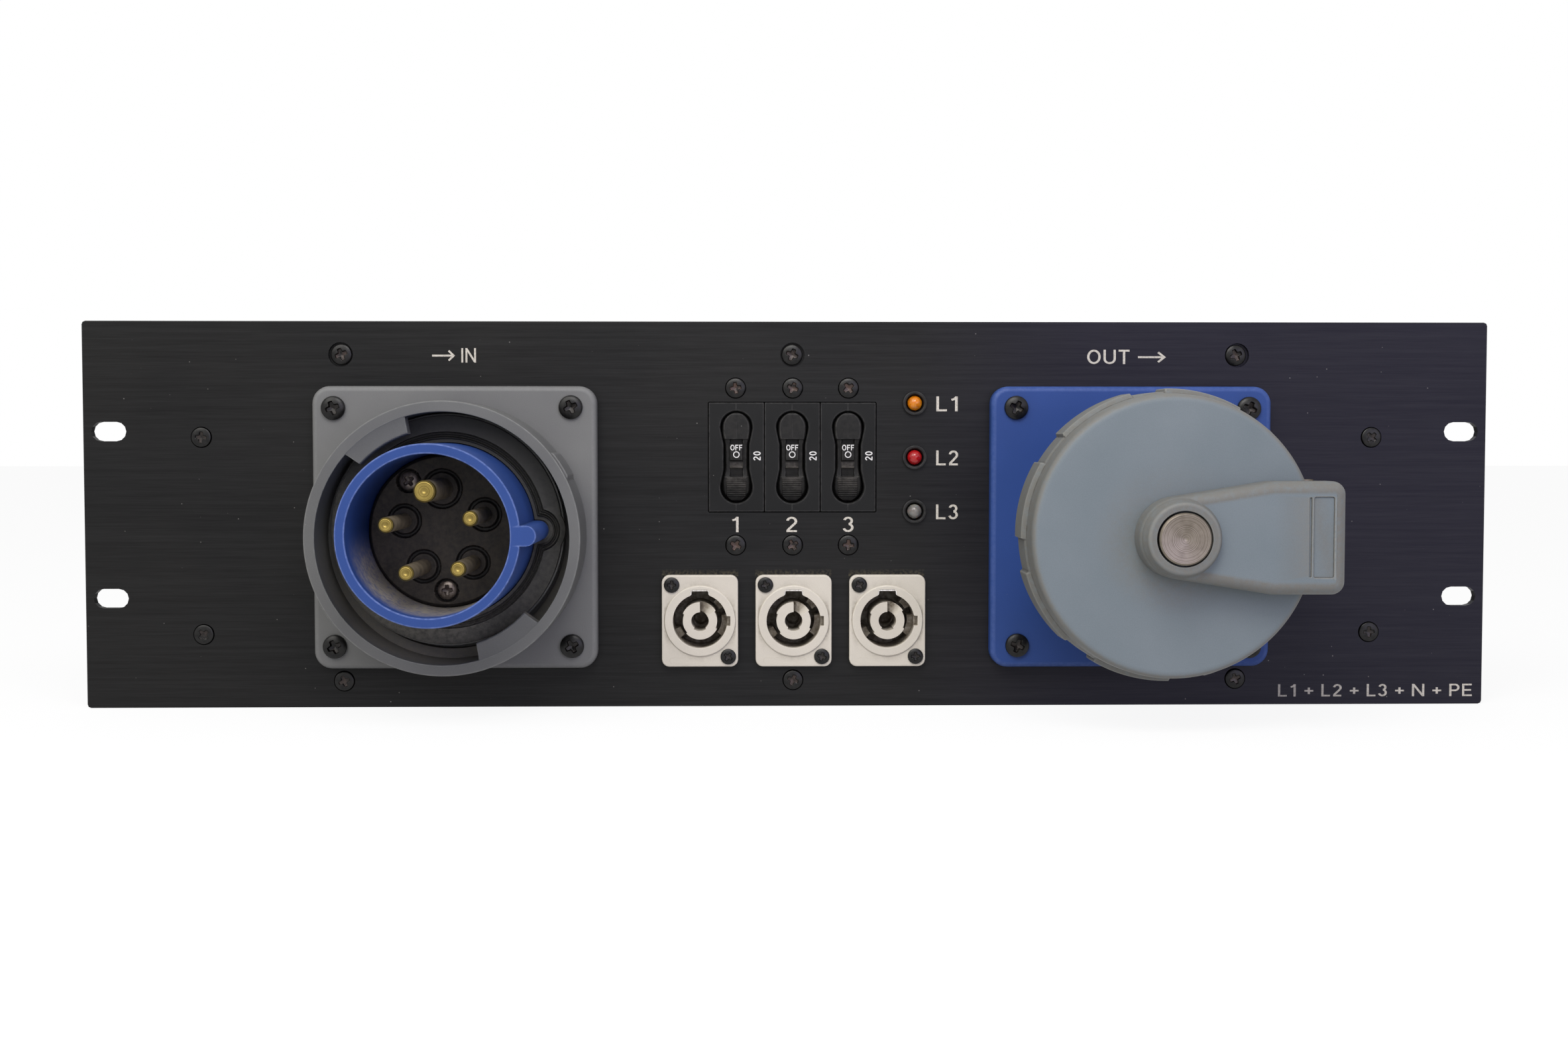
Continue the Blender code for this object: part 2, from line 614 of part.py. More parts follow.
def make_seal():
    """A rubber washer with two raised lips that follow the shroud and its key."""
    lips = [(GAP, SEAL_BODY)] + [(SEAL_LIP_START + k * SEAL_LIP_STEP,
                                  SEAL_BODY + (0.0 if k % 2 else SEAL_RIB)) for k in range(4)]
    fine = radians(18.0)
    coarse_steps = 30
    fine_steps = 16
    angles = [fine + (2.0 * pi - 2.0 * fine) * k / coarse_steps for k in range(coarse_steps)]
    angles += [-fine + 2.0 * fine * k / fine_steps for k in range(fine_steps)]
    bm = bmesh.new()
    rows = []
    for angle in angles:
        section = [(key_outline(offset)(angle), SEAL_BACK + rise) for offset, rise in lips]
        rim = max(SEAL_RADIUS, key_outline(lips[-1][0] + SEAL_RIM)(angle))
        section += [(rim, SEAL_BACK + SEAL_BODY), (rim, SEAL_BACK),
                    (key_outline(lips[0][0])(angle), SEAL_BACK)]
        rows.append([bm.verts.new((r * cos(angle), -reach, r * sin(angle)))
                     for r, reach in section])
    count = len(rows[0])
    for k, near in enumerate(rows):
        far = rows[(k + 1) % len(rows)]
        for i in range(count):
            j = (i + 1) % count
            bm.faces.new((near[i], near[j], far[j], far[i]))
    seal = solid("inlet_seal", bm, BLACK_RUBBER, inlet)
    sight = sector(SIGHT_INNER, SIGHT_OUTER, SIGHT_CENTRE, SIGHT_SPAN, 2)
    shape(seal, "DIFFERENCE", prism("cut_sight", sight, SEAL_BACK - MM,
                                    SEAL_BACK + SEAL_BODY + SEAL_RIB + MM, BLACK_RUBBER, inlet))


def make_lock_ring():
    """The loose bayonet ring, with a rear lip, two lugs and two grip pads."""
    edge = RING_EDGE
    ring = turned("inlet_lock_ring",
                  [(RING_LIP_RADIUS, RING_BACK), (RING_RADIUS - edge, RING_BACK),
                   (RING_RADIUS, RING_BACK + edge), (RING_RADIUS, RING_REACH - edge),
                   (RING_RADIUS - edge, RING_REACH), (RING_BORE + edge, RING_REACH),
                   (RING_BORE, RING_REACH - edge), (RING_BORE, RING_BACK + RING_LIP),
                   (RING_LIP_RADIUS, RING_BACK + RING_LIP)],
                  GREY_NYLON, ring_axis)
    wall_middle = RING_BORE + RING_WALL / 2.0
    lug_front = RING_REACH - edge
    additions = [prism("add_lug", sector(LUG_INNER, wall_middle, centre, LUG_SPAN, 8),
                       lug_front - LUG_THICK, lug_front, GREY_NYLON, ring_axis)
                 for centre in LUG_CENTRES]
    additions += [prism("add_grip", sector(wall_middle, RING_RADIUS + GRIP_RISE, centre,
                                           GRIP_SPAN, 4),
                        RING_BACK + 2.0 * edge, RING_REACH - 2.0 * edge, GREY_NYLON, ring_axis)
                  for centre in GRIP_CENTRES]
    shape(ring, "UNION", *additions)


def pin_places(mirrored=False):
    """Angles of the five contacts, the earth first, seen from the front."""
    for k in range(PIN_COUNT):
        angle = PIN_TURN + 2.0 * pi * k / PIN_COUNT
        yield k, pi - angle if mirrored else angle


CONTACT_NAMES = ("earth", "neutral", "line_1", "line_2", "line_3")


def make_inlet_insert():
    """The insulating insert with its five pins."""
    insert = turned("inlet_insert",
                    [(0.0, -INSERT_DEPTH), (SHROUD_BORE - GAP, -INSERT_DEPTH),
                     (SHROUD_BORE - GAP, INSERT_REACH - MM),
                     (SHROUD_BORE - GAP - MM, INSERT_REACH), (0.0, INSERT_REACH)],
                    BLACK_NYLON, inlet)
    cuts = []
    for k, angle in pin_places():
        radius = EARTH_PIN_RADIUS if k == 0 else PIN_RADIUS
        place = on_circle(PIN_CIRCLE, angle)
        cuts.append(prism("cut_pin", circle(radius + PIVOT_GAP, SMALL_STEPS, place),
                          -INSERT_DEPTH - MM, INSERT_REACH + MM, BLACK_NYLON, inlet))
        make_pin(k, radius, place)
    shape(insert, "DIFFERENCE", *cuts)


def make_pin(k, radius, place):
    """A brass pin with a chamfered, centre-drilled tip and a rear wire clamp."""
    reach = PIN_REACH if k else EARTH_PIN_REACH
    clamp = -INSERT_DEPTH - GAP
    pin = turned("inlet_pin_" + CONTACT_NAMES[k],
                 [(0.0, clamp - TERMINAL_LENGTH), (TERMINAL_RADIUS, clamp - TERMINAL_LENGTH),
                  (TERMINAL_RADIUS, clamp), (radius, clamp), (radius, reach - PIN_CHAMFER),
                  (radius - PIN_CHAMFER, reach), (PIN_DIMPLE, reach),
                  (0.0, reach - PIN_DIMPLE)],
                 BRASS, inlet, SMALL_STEPS)
    pin.location = (place[0], 0.0, place[1])


make_inlet()


# Receptacle

def make_receptacle():
    """Housing with its barrel, ramps and hinge ears, and the insert with its contacts."""
    bore_back = -SPIGOT_DEPTH
    neck = [(BARREL_BORE - MM, bore_back), (SPIGOT_RADIUS, bore_back),
            (SPIGOT_RADIUS, GAP + MM), (BARREL_RADIUS, GAP + MM),
            (BARREL_RADIUS, BARREL_REACH), (BARREL_BORE - MM, BARREL_REACH)]
    housing = make_connector_flange("receptacle_housing", BLUE_NYLON, receptacle, neck)
    ramps = [prism("add_ramp", sector(BARREL_RADIUS - MM, BARREL_RADIUS + RAMP_RISE, centre,
                                      RAMP_SPAN),
                   RAMP_REACH, RAMP_REACH + RAMP_THICK, BLUE_NYLON, receptacle)
             for centre in RAMP_CENTRES]
    shape(housing, "UNION", *ramps, *hinge_ears())
    bore = prism("cut_barrel", circle(BARREL_BORE, ROUND_STEPS), bore_back - MM,
                 BARREL_REACH + MM, BLUE_NYLON, receptacle)
    slot = KEY_WIDTH / 2.0 + GAP
    keyway = box("cut_keyway", (-SHROUD_RADIUS - KEY_RISE - GAP, SLEEVE_FOOT_REACH, -slot),
                 (-SHROUD_BORE, BARREL_REACH + MM, slot), BLUE_NYLON, receptacle)
    shape(housing, "DIFFERENCE", bore, keyway, hinge_bore("cut_ear_bore", housing_pin_half()))
    make_receptacle_insert()


def housing_pin_half():
    """Half the hinge pin's length between its heads."""
    return KNUCKLE_HALF + GAP + EAR_THICK


def upright(name, outline, low, high, material, parent):
    """Extrude an (x, reach) outline along Z."""
    return loft(name, [[(x, -reach, z) for x, reach in outline] for z in (low, high)],
                material, parent)


def hinge_ears():
    """Two ears that rise from the flange's edge to the hinge pin."""
    foot = FLANGE_SIZE / 2.0
    centre = (HINGE_X, HINGE_REACH)
    outline = ([(foot - EAR_FOOT_INSET - EAR_FOOT, GAP + MM), (foot - EAR_FOOT_INSET, GAP + MM)]
               + arc(centre, KNUCKLE_RADIUS, radians(-40.0), radians(150.0), 8))
    near = KNUCKLE_HALF + GAP
    return [upright("add_ear", outline, low, low + EAR_THICK, BLUE_NYLON, receptacle)
            for low in (near, -near - EAR_THICK)]


def hinge_bore(name, half):
    """A bore along the hinge axis, running past both ends."""
    outline = circle(HINGE_PIN_RADIUS + PIVOT_GAP, SMALL_STEPS, (HINGE_X, HINGE_REACH))
    return upright(name, outline, -half - MM, half + MM, BLUE_NYLON, receptacle)


def make_receptacle_insert():
    """The foot and the sleeve in front of it; their bores hold the contacts."""
    foot = turned("receptacle_insert_foot",
                  [(0.0, -SLEEVE_DEPTH), (BARREL_BORE - GAP, -SLEEVE_DEPTH),
                   (BARREL_BORE - GAP, SLEEVE_FOOT_REACH), (0.0, SLEEVE_FOOT_REACH)],
                  BLACK_NYLON, receptacle)
    sleeve = turned("receptacle_insert",
                    [(0.0, SLEEVE_FOOT_REACH + GAP), (SLEEVE_RADIUS, SLEEVE_FOOT_REACH + GAP),
                     (SLEEVE_RADIUS, SLEEVE_REACH), (0.0, SLEEVE_REACH)],
                    BLACK_NYLON, receptacle)
    cuts = []
    for k, angle in pin_places(mirrored=True):
        pin_radius = EARTH_PIN_RADIUS if k == 0 else PIN_RADIUS
        contact_bore = pin_radius + CONTACT_SLACK
        contact_outer = contact_bore + CONTACT_WALL
        place = on_circle(PIN_CIRCLE, angle)
        front = SLEEVE_REACH - CONTACT_SINK
        back = -SLEEVE_DEPTH - GAP
        cut = turned("cut_contact",
                     [(0.0, -SLEEVE_DEPTH - MM), (contact_outer + GAP, -SLEEVE_DEPTH - MM),
                      (contact_outer + GAP, front + GAP), (contact_bore + GAP, front + GAP),
                      (contact_bore + GAP, SLEEVE_REACH + MM), (0.0, SLEEVE_REACH + MM)],
                     BLACK_NYLON, receptacle, SMALL_STEPS)
        cut.location = (place[0], 0.0, place[1])
        cuts.append(cut)
        contact = turned("receptacle_contact_" + CONTACT_NAMES[k],
                         [(0.0, back - TERMINAL_LENGTH),
                          (TERMINAL_RADIUS + CONTACT_WALL, back - TERMINAL_LENGTH),
                          (TERMINAL_RADIUS + CONTACT_WALL, back), (contact_outer, back),
                          (contact_outer, front), (contact_bore, front),
                          (contact_bore, -SLEEVE_DEPTH / 2.0), (0.0, -SLEEVE_DEPTH / 2.0)],
                         BRASS, receptacle, SMALL_STEPS)
        contact.location = (place[0], 0.0, place[1])
    shape(foot, "DIFFERENCE", *cuts)
    shape(sleeve, "DIFFERENCE", *cuts)


make_receptacle()


# Lid

def make_cap():
    """The bayonet cap: a soft-edged disc, a notched grip band and two inner lugs."""
    shank_bore = RIVET_SHANK + PIVOT_GAP
    ceiling = CAP_REACH - CAP_WALL
    shoulder = [(CAP_FACE_RADIUS + CAP_SHOULDER * sin(a),
                 CAP_REACH - CAP_SHOULDER * (1.0 - cos(a)))
                for a in (0.0, pi / 6.0, pi / 3.0, pi / 2.0)]
    flank_radius = CAP_FACE_RADIUS + CAP_SHOULDER + 0.6 * MM
    profile = ([(shank_bore, ceiling), (shank_bore, CAP_REACH)] + shoulder
               + [(flank_radius, CAP_BAND_REACH + MM),
                  (CAP_BAND_RADIUS, CAP_BAND_REACH), (CAP_BAND_RADIUS, CAP_SKIRT_REACH),
                  (CAP_BORE, CAP_SKIRT_REACH), (CAP_BORE, ceiling - 2.0 * MM),
                  (CAP_BORE - 2.0 * MM, ceiling)])
    cap = turned("lid_cap", profile, GREY_NYLON, cap_axis)
    lug_back = CAP_SKIRT_REACH + CAP_LUG_LIFT
    lugs = [prism("add_cap_lug", sector(CAP_LUG_INNER, CAP_BORE + MM, centre, CAP_LUG_SPAN),
                  lug_back, lug_back + CAP_LUG_THICK, GREY_NYLON, cap_axis)
            for centre in (pi / 2.0, 1.5 * pi)]
    shape(cap, "UNION", *lugs)
    notches = []
    for k in range(CAP_NOTCH_COUNT):
        centre = CAP_NOTCH_START + 2.0 * pi * k / CAP_NOTCH_COUNT
        notches.append(prism("cut_notch", sector(CAP_BAND_RADIUS - CAP_NOTCH_DEPTH,
                                                 CAP_BAND_RADIUS + MM, centre,
                                                 CAP_NOTCH_SPAN, 3),
                             CAP_SKIRT_REACH - MM, CAP_BAND_REACH + 0.5 * MM,
                             GREY_NYLON, cap_axis))
    shape(cap, "DIFFERENCE", *notches)

    turned("lid_gasket",
           [(GASKET_INNER, BARREL_REACH + GASKET_CLEAR),
            (GASKET_OUTER, BARREL_REACH + GASKET_CLEAR),
            (GASKET_OUTER, ceiling - GAP), (GASKET_INNER, ceiling - GAP)],
           BLACK_RUBBER, cap_axis)


def arm_outline(inset=0.0):
    """Outline of the arm seen from the front: a nose round the rivet, flared to the hinge."""
    nose = ARM_NOSE_RADIUS - inset
    half = ARM_HALF_WIDTH - inset
    end = ARM_END_X - inset
    corner = max(ARM_CORNER - inset, 0.5 * MM)
    rise = asin((half - nose) / hypot(ARM_FLARE_X, half))
    tangent = pi / 2.0 + rise
    points = arc((0.0, 0.0), nose, tangent, 2.0 * pi - tangent, 12)
    points += [(ARM_FLARE_X, -half)]
    points += arc((end - corner, -half + corner), corner, -pi / 2.0, 0.0, 4)
    points += arc((end - corner, half - corner), corner, 0.0, pi / 2.0, 4)
    points += [(ARM_FLARE_X, half)]
    return points


def make_arm():
    """The hollow arm with its rivet collar, window, leg and hinge knuckle."""
    rings = [[(x, -reach, z) for x, z in arm_outline(inset)]
             for reach, inset in ((ARM_BACK, 0.0), (ARM_FRONT - ARM_EDGE, 0.0),
                                  (ARM_FRONT - 0.3 * ARM_EDGE, 0.3 * ARM_EDGE),
                                  (ARM_FRONT, ARM_EDGE))]
    arm = loft("lid_arm", rings, GREY_NYLON, cap_axis)
    head_bore = RIVET_HEAD_RADIUS + RIVET_HEAD_CLEAR
    collar = turned("add_collar",
                    [(0.0, ARM_FRONT - MM), (ARM_COLLAR_RADIUS + 0.8 * MM, ARM_FRONT - MM),
                     (ARM_COLLAR_RADIUS, ARM_FRONT + ARM_COLLAR_RISE - 0.6 * MM),
                     (ARM_COLLAR_RADIUS - 0.7 * MM, ARM_FRONT + ARM_COLLAR_RISE),
                     (0.0, ARM_FRONT + ARM_COLLAR_RISE)],
                    GREY_NYLON, cap_axis, MEDIUM_STEPS)
    leg_inner = CAP_BAND_RADIUS + LEG_GAP
    step = HINGE_REACH + LEG_STEP_RISE
    wide = box("add_leg", (leg_inner, step, -ARM_HALF_WIDTH + ARM_EDGE),
               (ARM_END_X, ARM_FRONT - ARM_CORNER, ARM_HALF_WIDTH - ARM_EDGE),
               GREY_NYLON, cap_axis)
    narrow = box("add_leg_foot", (leg_inner, HINGE_REACH - MM, -KNUCKLE_HALF),
                 (ARM_END_X - 0.2 * MM, step + MM, KNUCKLE_HALF), GREY_NYLON, cap_axis)
    knuckle = upright("add_knuckle", circle(KNUCKLE_RADIUS, SMALL_STEPS,
                                            (HINGE_X, HINGE_REACH)),
                      -KNUCKLE_HALF, KNUCKLE_HALF, GREY_NYLON, cap_axis)
    shape(arm, "UNION", collar, wide, narrow, knuckle)

    hollow = [[(x, -reach, z) for x, z in arm_outline(ARM_WALL)]
              for reach in (ARM_BACK - MM, ARM_FRONT - ARM_WALL)]
    hollow = loft("cut_hollow", hollow, GREY_NYLON, cap_axis)
    boss = prism("keep_boss", circle(ARM_COLLAR_RADIUS), ARM_BACK - 2.0 * MM,
                 ARM_FRONT, GREY_NYLON, cap_axis)
    shape(hollow, "DIFFERENCE", boss)
    shank = prism("cut_shank", circle(RIVET_SHANK + PIVOT_GAP), ARM_BACK - MM,
                  ARM_FRONT + MM, GREY_NYLON, cap_axis)
    seat = prism("cut_head", circle(head_bore, MEDIUM_STEPS), ARM_FRONT,
                 ARM_FRONT + ARM_COLLAR_RISE + MM, GREY_NYLON, cap_axis)
    window_end = ARM_END_X - WINDOW_EDGE - ARM_EDGE / 2.0
    window = box("cut_window", (window_end - WINDOW_WIDTH, ARM_FRONT - WINDOW_DEPTH,
                                -WINDOW_HALF_HEIGHT),
                 (window_end, ARM_FRONT + MM, WINDOW_HALF_HEIGHT), GREY_NYLON, cap_axis)
    pin_bore = upright("cut_knuckle_bore",
                       circle(HINGE_PIN_RADIUS + PIVOT_GAP, SMALL_STEPS,
                              (HINGE_X, HINGE_REACH)),
                       -KNUCKLE_HALF - MM, KNUCKLE_HALF + MM, GREY_NYLON, cap_axis)
    shape(arm, "DIFFERENCE", hollow, shank, seat, window, pin_bore)


def make_lid_hardware():
    """The rivet that holds the cap to the arm, and the hinge pin."""
    head_front = ARM_FRONT + ARM_COLLAR_RISE + RIVET_PROUD
    tail_front = CAP_REACH - CAP_WALL - GAP
    turned("lid_rivet",
           [(0.0, tail_front - RIVET_TAIL_THICK),
            (RIVET_TAIL_RADIUS, tail_front - RIVET_TAIL_THICK),
            (RIVET_TAIL_RADIUS, tail_front), (RIVET_SHANK, tail_front),
            (RIVET_SHANK, ARM_FRONT + GAP), (RIVET_HEAD_RADIUS, ARM_FRONT + GAP),
            (RIVET_HEAD_RADIUS, head_front - 0.5 * MM),
            (RIVET_HEAD_RADIUS - 0.5 * MM, head_front), (0.0, head_front)],
           STEEL, cap_axis, MEDIUM_STEPS)
    half = housing_pin_half()
    head = HINGE_PIN_HEAD_THICK
    levels = ((-half - GAP - head, HINGE_PIN_HEAD), (-half - GAP, HINGE_PIN_HEAD),
              (-half - GAP, HINGE_PIN_RADIUS), (half + GAP, HINGE_PIN_RADIUS),
              (half + GAP, HINGE_PIN_HEAD), (half + GAP + head, HINGE_PIN_HEAD))
    rings = [[(x, y, z) for x, y in circle(radius)] for z, radius in levels]
    loft("lid_hinge_pin", rings, STEEL, hinge_axis)


make_cap()
make_arm()
make_lid_hardware()


# Circuit breakers

def waisted(lobe, waist):
    """Outline of the rocker's recess: two round ends joined by a drawn-in middle."""
    offset = ROCKER_LOBE_OFFSET
    lean = radians(12.0)
    mid = [(waist, -0.3 * offset), (waist, 0.3 * offset)]
    top = arc((0.0, offset), lobe, -lean, pi + lean, 9)
    bottom = arc((0.0, -offset), lobe, pi - lean, 2.0 * pi + lean, 9)
    return mid + top + [(-x, z) for x, z in reversed(mid)] + bottom


def breaker_x(index):
    """Where a breaker stands across the panel."""
    return BREAKER_X + (index - (BREAKER_COUNT - 1) / 2.0) * BREAKER_PITCH


def make_breaker(index):
    """A breaker: body behind the panel, flush face with a recess, and the rocker in it."""
    place = frame("breaker_%d_axis" % (index + 1), breaker_x(index), -ROCKER_PIVOT_DEPTH,
                  BREAKER_Z, datum)
    axis_reach = ROCKER_PIVOT_DEPTH
    half = BREAKER_WIDTH / 2.0
    behind = axis_reach - PANEL_THICK - GAP
    back = axis_reach - BREAKER_BODY_DEPTH
    body_low = BREAKER_BODY_Z - BREAKER_BODY_HEIGHT / 2.0 - BREAKER_Z
    body = box("breaker_%d_body" % (index + 1), (-half, back, body_low),
               (half, behind, body_low + BREAKER_BODY_HEIGHT), BLACK_NYLON, place)
    face = box("add_face", (-half, behind - MM, -BREAKER_FACE_HEIGHT / 2.0),
               (half, axis_reach, BREAKER_FACE_HEIGHT / 2.0), BLACK_NYLON, place)
    middle = body_low + BREAKER_BODY_HEIGHT / 2.0
    tabs = [box("add_tab", (-BREAKER_TAB_WIDTH / 2.0, back - BREAKER_TAB_LENGTH,
                            middle + side * BREAKER_TAB_RISE - BREAKER_TAB_THICK / 2.0),
                (BREAKER_TAB_WIDTH / 2.0, back + MM,
                 middle + side * BREAKER_TAB_RISE + BREAKER_TAB_THICK / 2.0),
                BLACK_NYLON, place) for side in (-1, 1)]
    shape(body, "UNION", face, *tabs)
    shape(body, "DIFFERENCE",
          prism("cut_recess", waisted(ROCKER_LOBE, ROCKER_WAIST),
                axis_reach - ROCKER_RECESS, axis_reach + MM, BLACK_NYLON, place))
    make_rocker(index, place)


def make_rocker(index, place):
    """The rocker, off: its upper half is flush and its lower half is pushed in."""
    tip = ROCKER_LOBE_OFFSET + ROCKER_LOBE - ROCKER_CLEAR
    top = ROCKER_PIVOT_DEPTH - ROCKER_SINK
    slope = sin(ROCKER_THROW) / cos(ROCKER_THROW)
    low_front = top - tip * slope
    front = [(tip * cos(asin(top / tip)), top), (0.0, top),
             (-tip * cos(asin(-low_front / tip)), low_front)]
    under = [(-tip * 0.985, -2.6 * MM), (-ROCKER_HUB, -2.6 * MM), (-ROCKER_HUB * 0.7, -ROCKER_HUB),
             (ROCKER_HUB * 0.7, -ROCKER_HUB), (ROCKER_HUB, -1.2 * MM), (tip * 0.995, -0.8 * MM)]
    outline = front + under
    half = ROCKER_LOBE
    rings = [[(x, -reach, z) for z, reach in outline] for x in (-half, half)]
    rocker = loft("breaker_%d_rocker" % (index + 1), rings, BLACK_NYLON, place)
    plan = waisted(ROCKER_LOBE - ROCKER_CLEAR, ROCKER_WAIST - ROCKER_CLEAR)
    shape(rocker, "INTERSECT", prism("keep_plan", plan, -ROCKER_RECESS, ROCKER_RECESS,
                                     BLACK_NYLON, place))


for number in range(BREAKER_COUNT):
    make_breaker(number)


# Indicator lamps

def make_lamp(index, z):
    """A bezel clipped through the panel, with its lens."""
    place = frame("lamp_%d_axis" % (index + 1), LAMP_X, 0.0, z, datum)
    bore = LAMP_LENS_RADIUS + GAP
    nut_front = -PANEL_THICK - GAP
    turned("lamp_%d_bezel" % (index + 1),
           [(bore, -LAMP_BARREL_DEPTH), (LAMP_BARREL_RADIUS, -LAMP_BARREL_DEPTH),
            (LAMP_BARREL_RADIUS, nut_front - LAMP_NUT_THICK),
            (LAMP_NUT_RADIUS, nut_front - LAMP_NUT_THICK), (LAMP_NUT_RADIUS, nut_front),
            (LAMP_BARREL_RADIUS, nut_front), (LAMP_BARREL_RADIUS, GAP),
            (LAMP_BEZEL_RADIUS, GAP), (LAMP_BEZEL_RADIUS, LAMP_BEZEL_REACH - 0.5 * MM),
            (LAMP_BEZEL_RADIUS - 0.5 * MM, LAMP_BEZEL_REACH), (bore, LAMP_BEZEL_REACH)],
           BLACK_NYLON, place, SMALL_STEPS)
    dome = [(LAMP_LENS_RADIUS * cos(a),
             LAMP_LENS_REACH - LAMP_LENS_RADIUS * (1.0 - sin(a)))
            for a in (0.0, pi / 6.0, pi / 3.0)]
    turned("lamp_%d_lens" % (index + 1),
           [(0.0, -LAMP_BARREL_DEPTH + MM), (LAMP_LENS_RADIUS, -LAMP_BARREL_DEPTH + MM)]
           + dome + [(0.0, LAMP_LENS_REACH)], LENSES[index], place, SMALL_STEPS)


for number, height in enumerate(LAMP_Z):
    make_lamp(number, height)


# Outlet sockets

def make_socket(index, x):
    """A twist-lock outlet: flange, barrel, annular mouth and centre core, with its latch."""
    place = frame("socket_%d_axis" % (index + 1), x, 0.0, SOCKET_Z, datum)
    front = GAP + SOCKET_FLANGE_THICK
    rim = front + SOCKET_RIM_RISE
    shell = soft_plate("socket_%d_shell" % (index + 1), SOCKET_WIDTH, SOCKET_HEIGHT,
                       SOCKET_CORNER, GAP, front, SOCKET_EDGE_ROUND, PALE_NYLON, place, 3)
    barrel = turned("add_barrel",
                    [(0.0, -SOCKET_BACK_DEPTH), (SOCKET_BARREL_RADIUS, -SOCKET_BACK_DEPTH),
                     (SOCKET_BARREL_RADIUS, GAP + MM), (SOCKET_RIM_RADIUS, GAP + MM),
                     (SOCKET_RIM_RADIUS, rim - 0.3 * MM), (SOCKET_RIM_RADIUS - 0.3 * MM, rim),
                     (0.0, rim)], PALE_NYLON, place, MEDIUM_STEPS)
    tabs = [box("add_socket_tab",
                (-SOCKET_TAB_WIDTH / 2.0, -SOCKET_BACK_DEPTH - SOCKET_TAB_LENGTH,
                 rise - SOCKET_TAB_THICK / 2.0),
                (SOCKET_TAB_WIDTH / 2.0, -SOCKET_BACK_DEPTH + MM,
                 rise + SOCKET_TAB_THICK / 2.0), PALE_NYLON, place)
            for rise in (-SOCKET_TAB_RISE, 0.0, SOCKET_TAB_RISE)]
    shape(shell, "UNION", barrel, *tabs)
    core_front = rim - SOCKET_CORE_SINK
    mouth = turned("cut_mouth",
                   [(SOCKET_CORE_RADIUS, -SOCKET_MOUTH_DEPTH),
                    (SOCKET_MOUTH_RADIUS, -SOCKET_MOUTH_DEPTH),
                    (SOCKET_MOUTH_RADIUS, rim + MM), (SOCKET_CORE_BORE / 2.0, rim + MM),
                    (SOCKET_CORE_BORE / 2.0, core_front), (SOCKET_CORE_RADIUS, core_front)],
                   PALE_NYLON, place, MEDIUM_STEPS)
    bore = prism("cut_core_bore", circle(SOCKET_CORE_BORE), -SOCKET_MOUTH_DEPTH + MM,
                 rim + 2.0 * MM, PALE_NYLON, place)
    half = SOCKET_NOTCH_WIDTH / 2.0
    notch = box("cut_notch", (-half, -SOCKET_NOTCH_DEPTH, SOCKET_CORE_RADIUS + 2.0 * MM),
                (half, rim + 4.0 * MM, SOCKET_NOTCH_RADIUS), PALE_NYLON, place)
    side = SOCKET_KEY_WIDTH / 2.0
    key = box("cut_key", (SOCKET_CORE_RADIUS + 2.0 * MM, -SOCKET_MOUTH_DEPTH + 2.0 * MM, -side),
              (SOCKET_KEY_RADIUS, rim + 5.0 * MM, side), PALE_NYLON, place)
    shape(shell, "DIFFERENCE", mouth, bore, notch, key)

    outer = half - GAP
    top = SOCKET_NOTCH_RADIUS - GAP
    foot = SOCKET_MOUTH_RADIUS
    strip = [(-outer, foot), (-outer + LATCH_SHEET, foot),
             (-outer + LATCH_SHEET, top - LATCH_SHEET), (outer - LATCH_SHEET, top - LATCH_SHEET),
             (outer - LATCH_SHEET, foot), (outer, foot), (outer, top), (-outer, top)]
    prism("socket_%d_latch" % (index + 1), strip, rim - 0.5 * MM - LATCH_LENGTH,
          rim - 0.5 * MM, STEEL, place)


for number, across in enumerate(SOCKET_X):
    make_socket(number, across)


# Wiring

def smooth_route(points):
    """Round the corners of a route: each corner becomes a short curve."""
    route = [Vector(points[0])]
    for before, corner, after in zip(points, points[1:], points[2:]):
        corner = Vector(corner)
        arriving, leaving = Vector(before) - corner, Vector(after) - corner
        bend = min(WIRE_BEND, 0.45 * arriving.length, 0.45 * leaving.length)
        arriving, leaving = arriving.normalized() * bend, leaving.normalized() * bend
        for t in (0.0, 0.5, 1.0):
            route.append(corner + arriving * (1.0 - t) ** 2 + leaving * t ** 2)
    route.append(Vector(points[-1]))
    return route


def wire(name, *points):
    """A round wire along a route of (x, depth, z) points, with flat capped ends."""
    curve = bpy.data.curves.new(name, "CURVE")
    curve.dimensions = "3D"
    curve.bevel_depth = WIRE_RADIUS
    curve.bevel_resolution = 1
    curve.use_fill_caps = True
    spline = curve.splines.new("POLY")
    route = smooth_route(points)
    spline.points.add(len(route) - 1)
    for point, place in zip(spline.points, route):
        point.co = (*place, 1.0)
    piece = bpy.data.objects.new(name, curve)
    bpy.context.collection.objects.link(piece)
    piece.parent = datum
    curve.materials.append(WIRE_JACKET)


def make_feeds():
    """Five conductors from the inlet's clamps, behind the breakers, to the receptacle."""
    start = INSERT_DEPTH + 2.0 * GAP + TERMINAL_LENGTH
    end = SLEEVE_DEPTH + 2.0 * GAP + TERMINAL_LENGTH
    lanes = (FEED_MIDDLE, FEED_FAR, FEED_FAR, FEED_NEAR, FEED_NEAR)
    levels = []
    for (k, angle), lane in zip(pin_places(), lanes):
        x, z = on_circle(PIN_CIRCLE, angle)
        level = CONNECTOR_Z + z
        levels.append(level)
        wire("feed_wire_" + CONTACT_NAMES[k],
             (INLET_X + x, start, level), (INLET_X + x, lane, level),
             (RECEPTACLE_X - x, lane, level), (RECEPTACLE_X - x, end, level))
    return levels


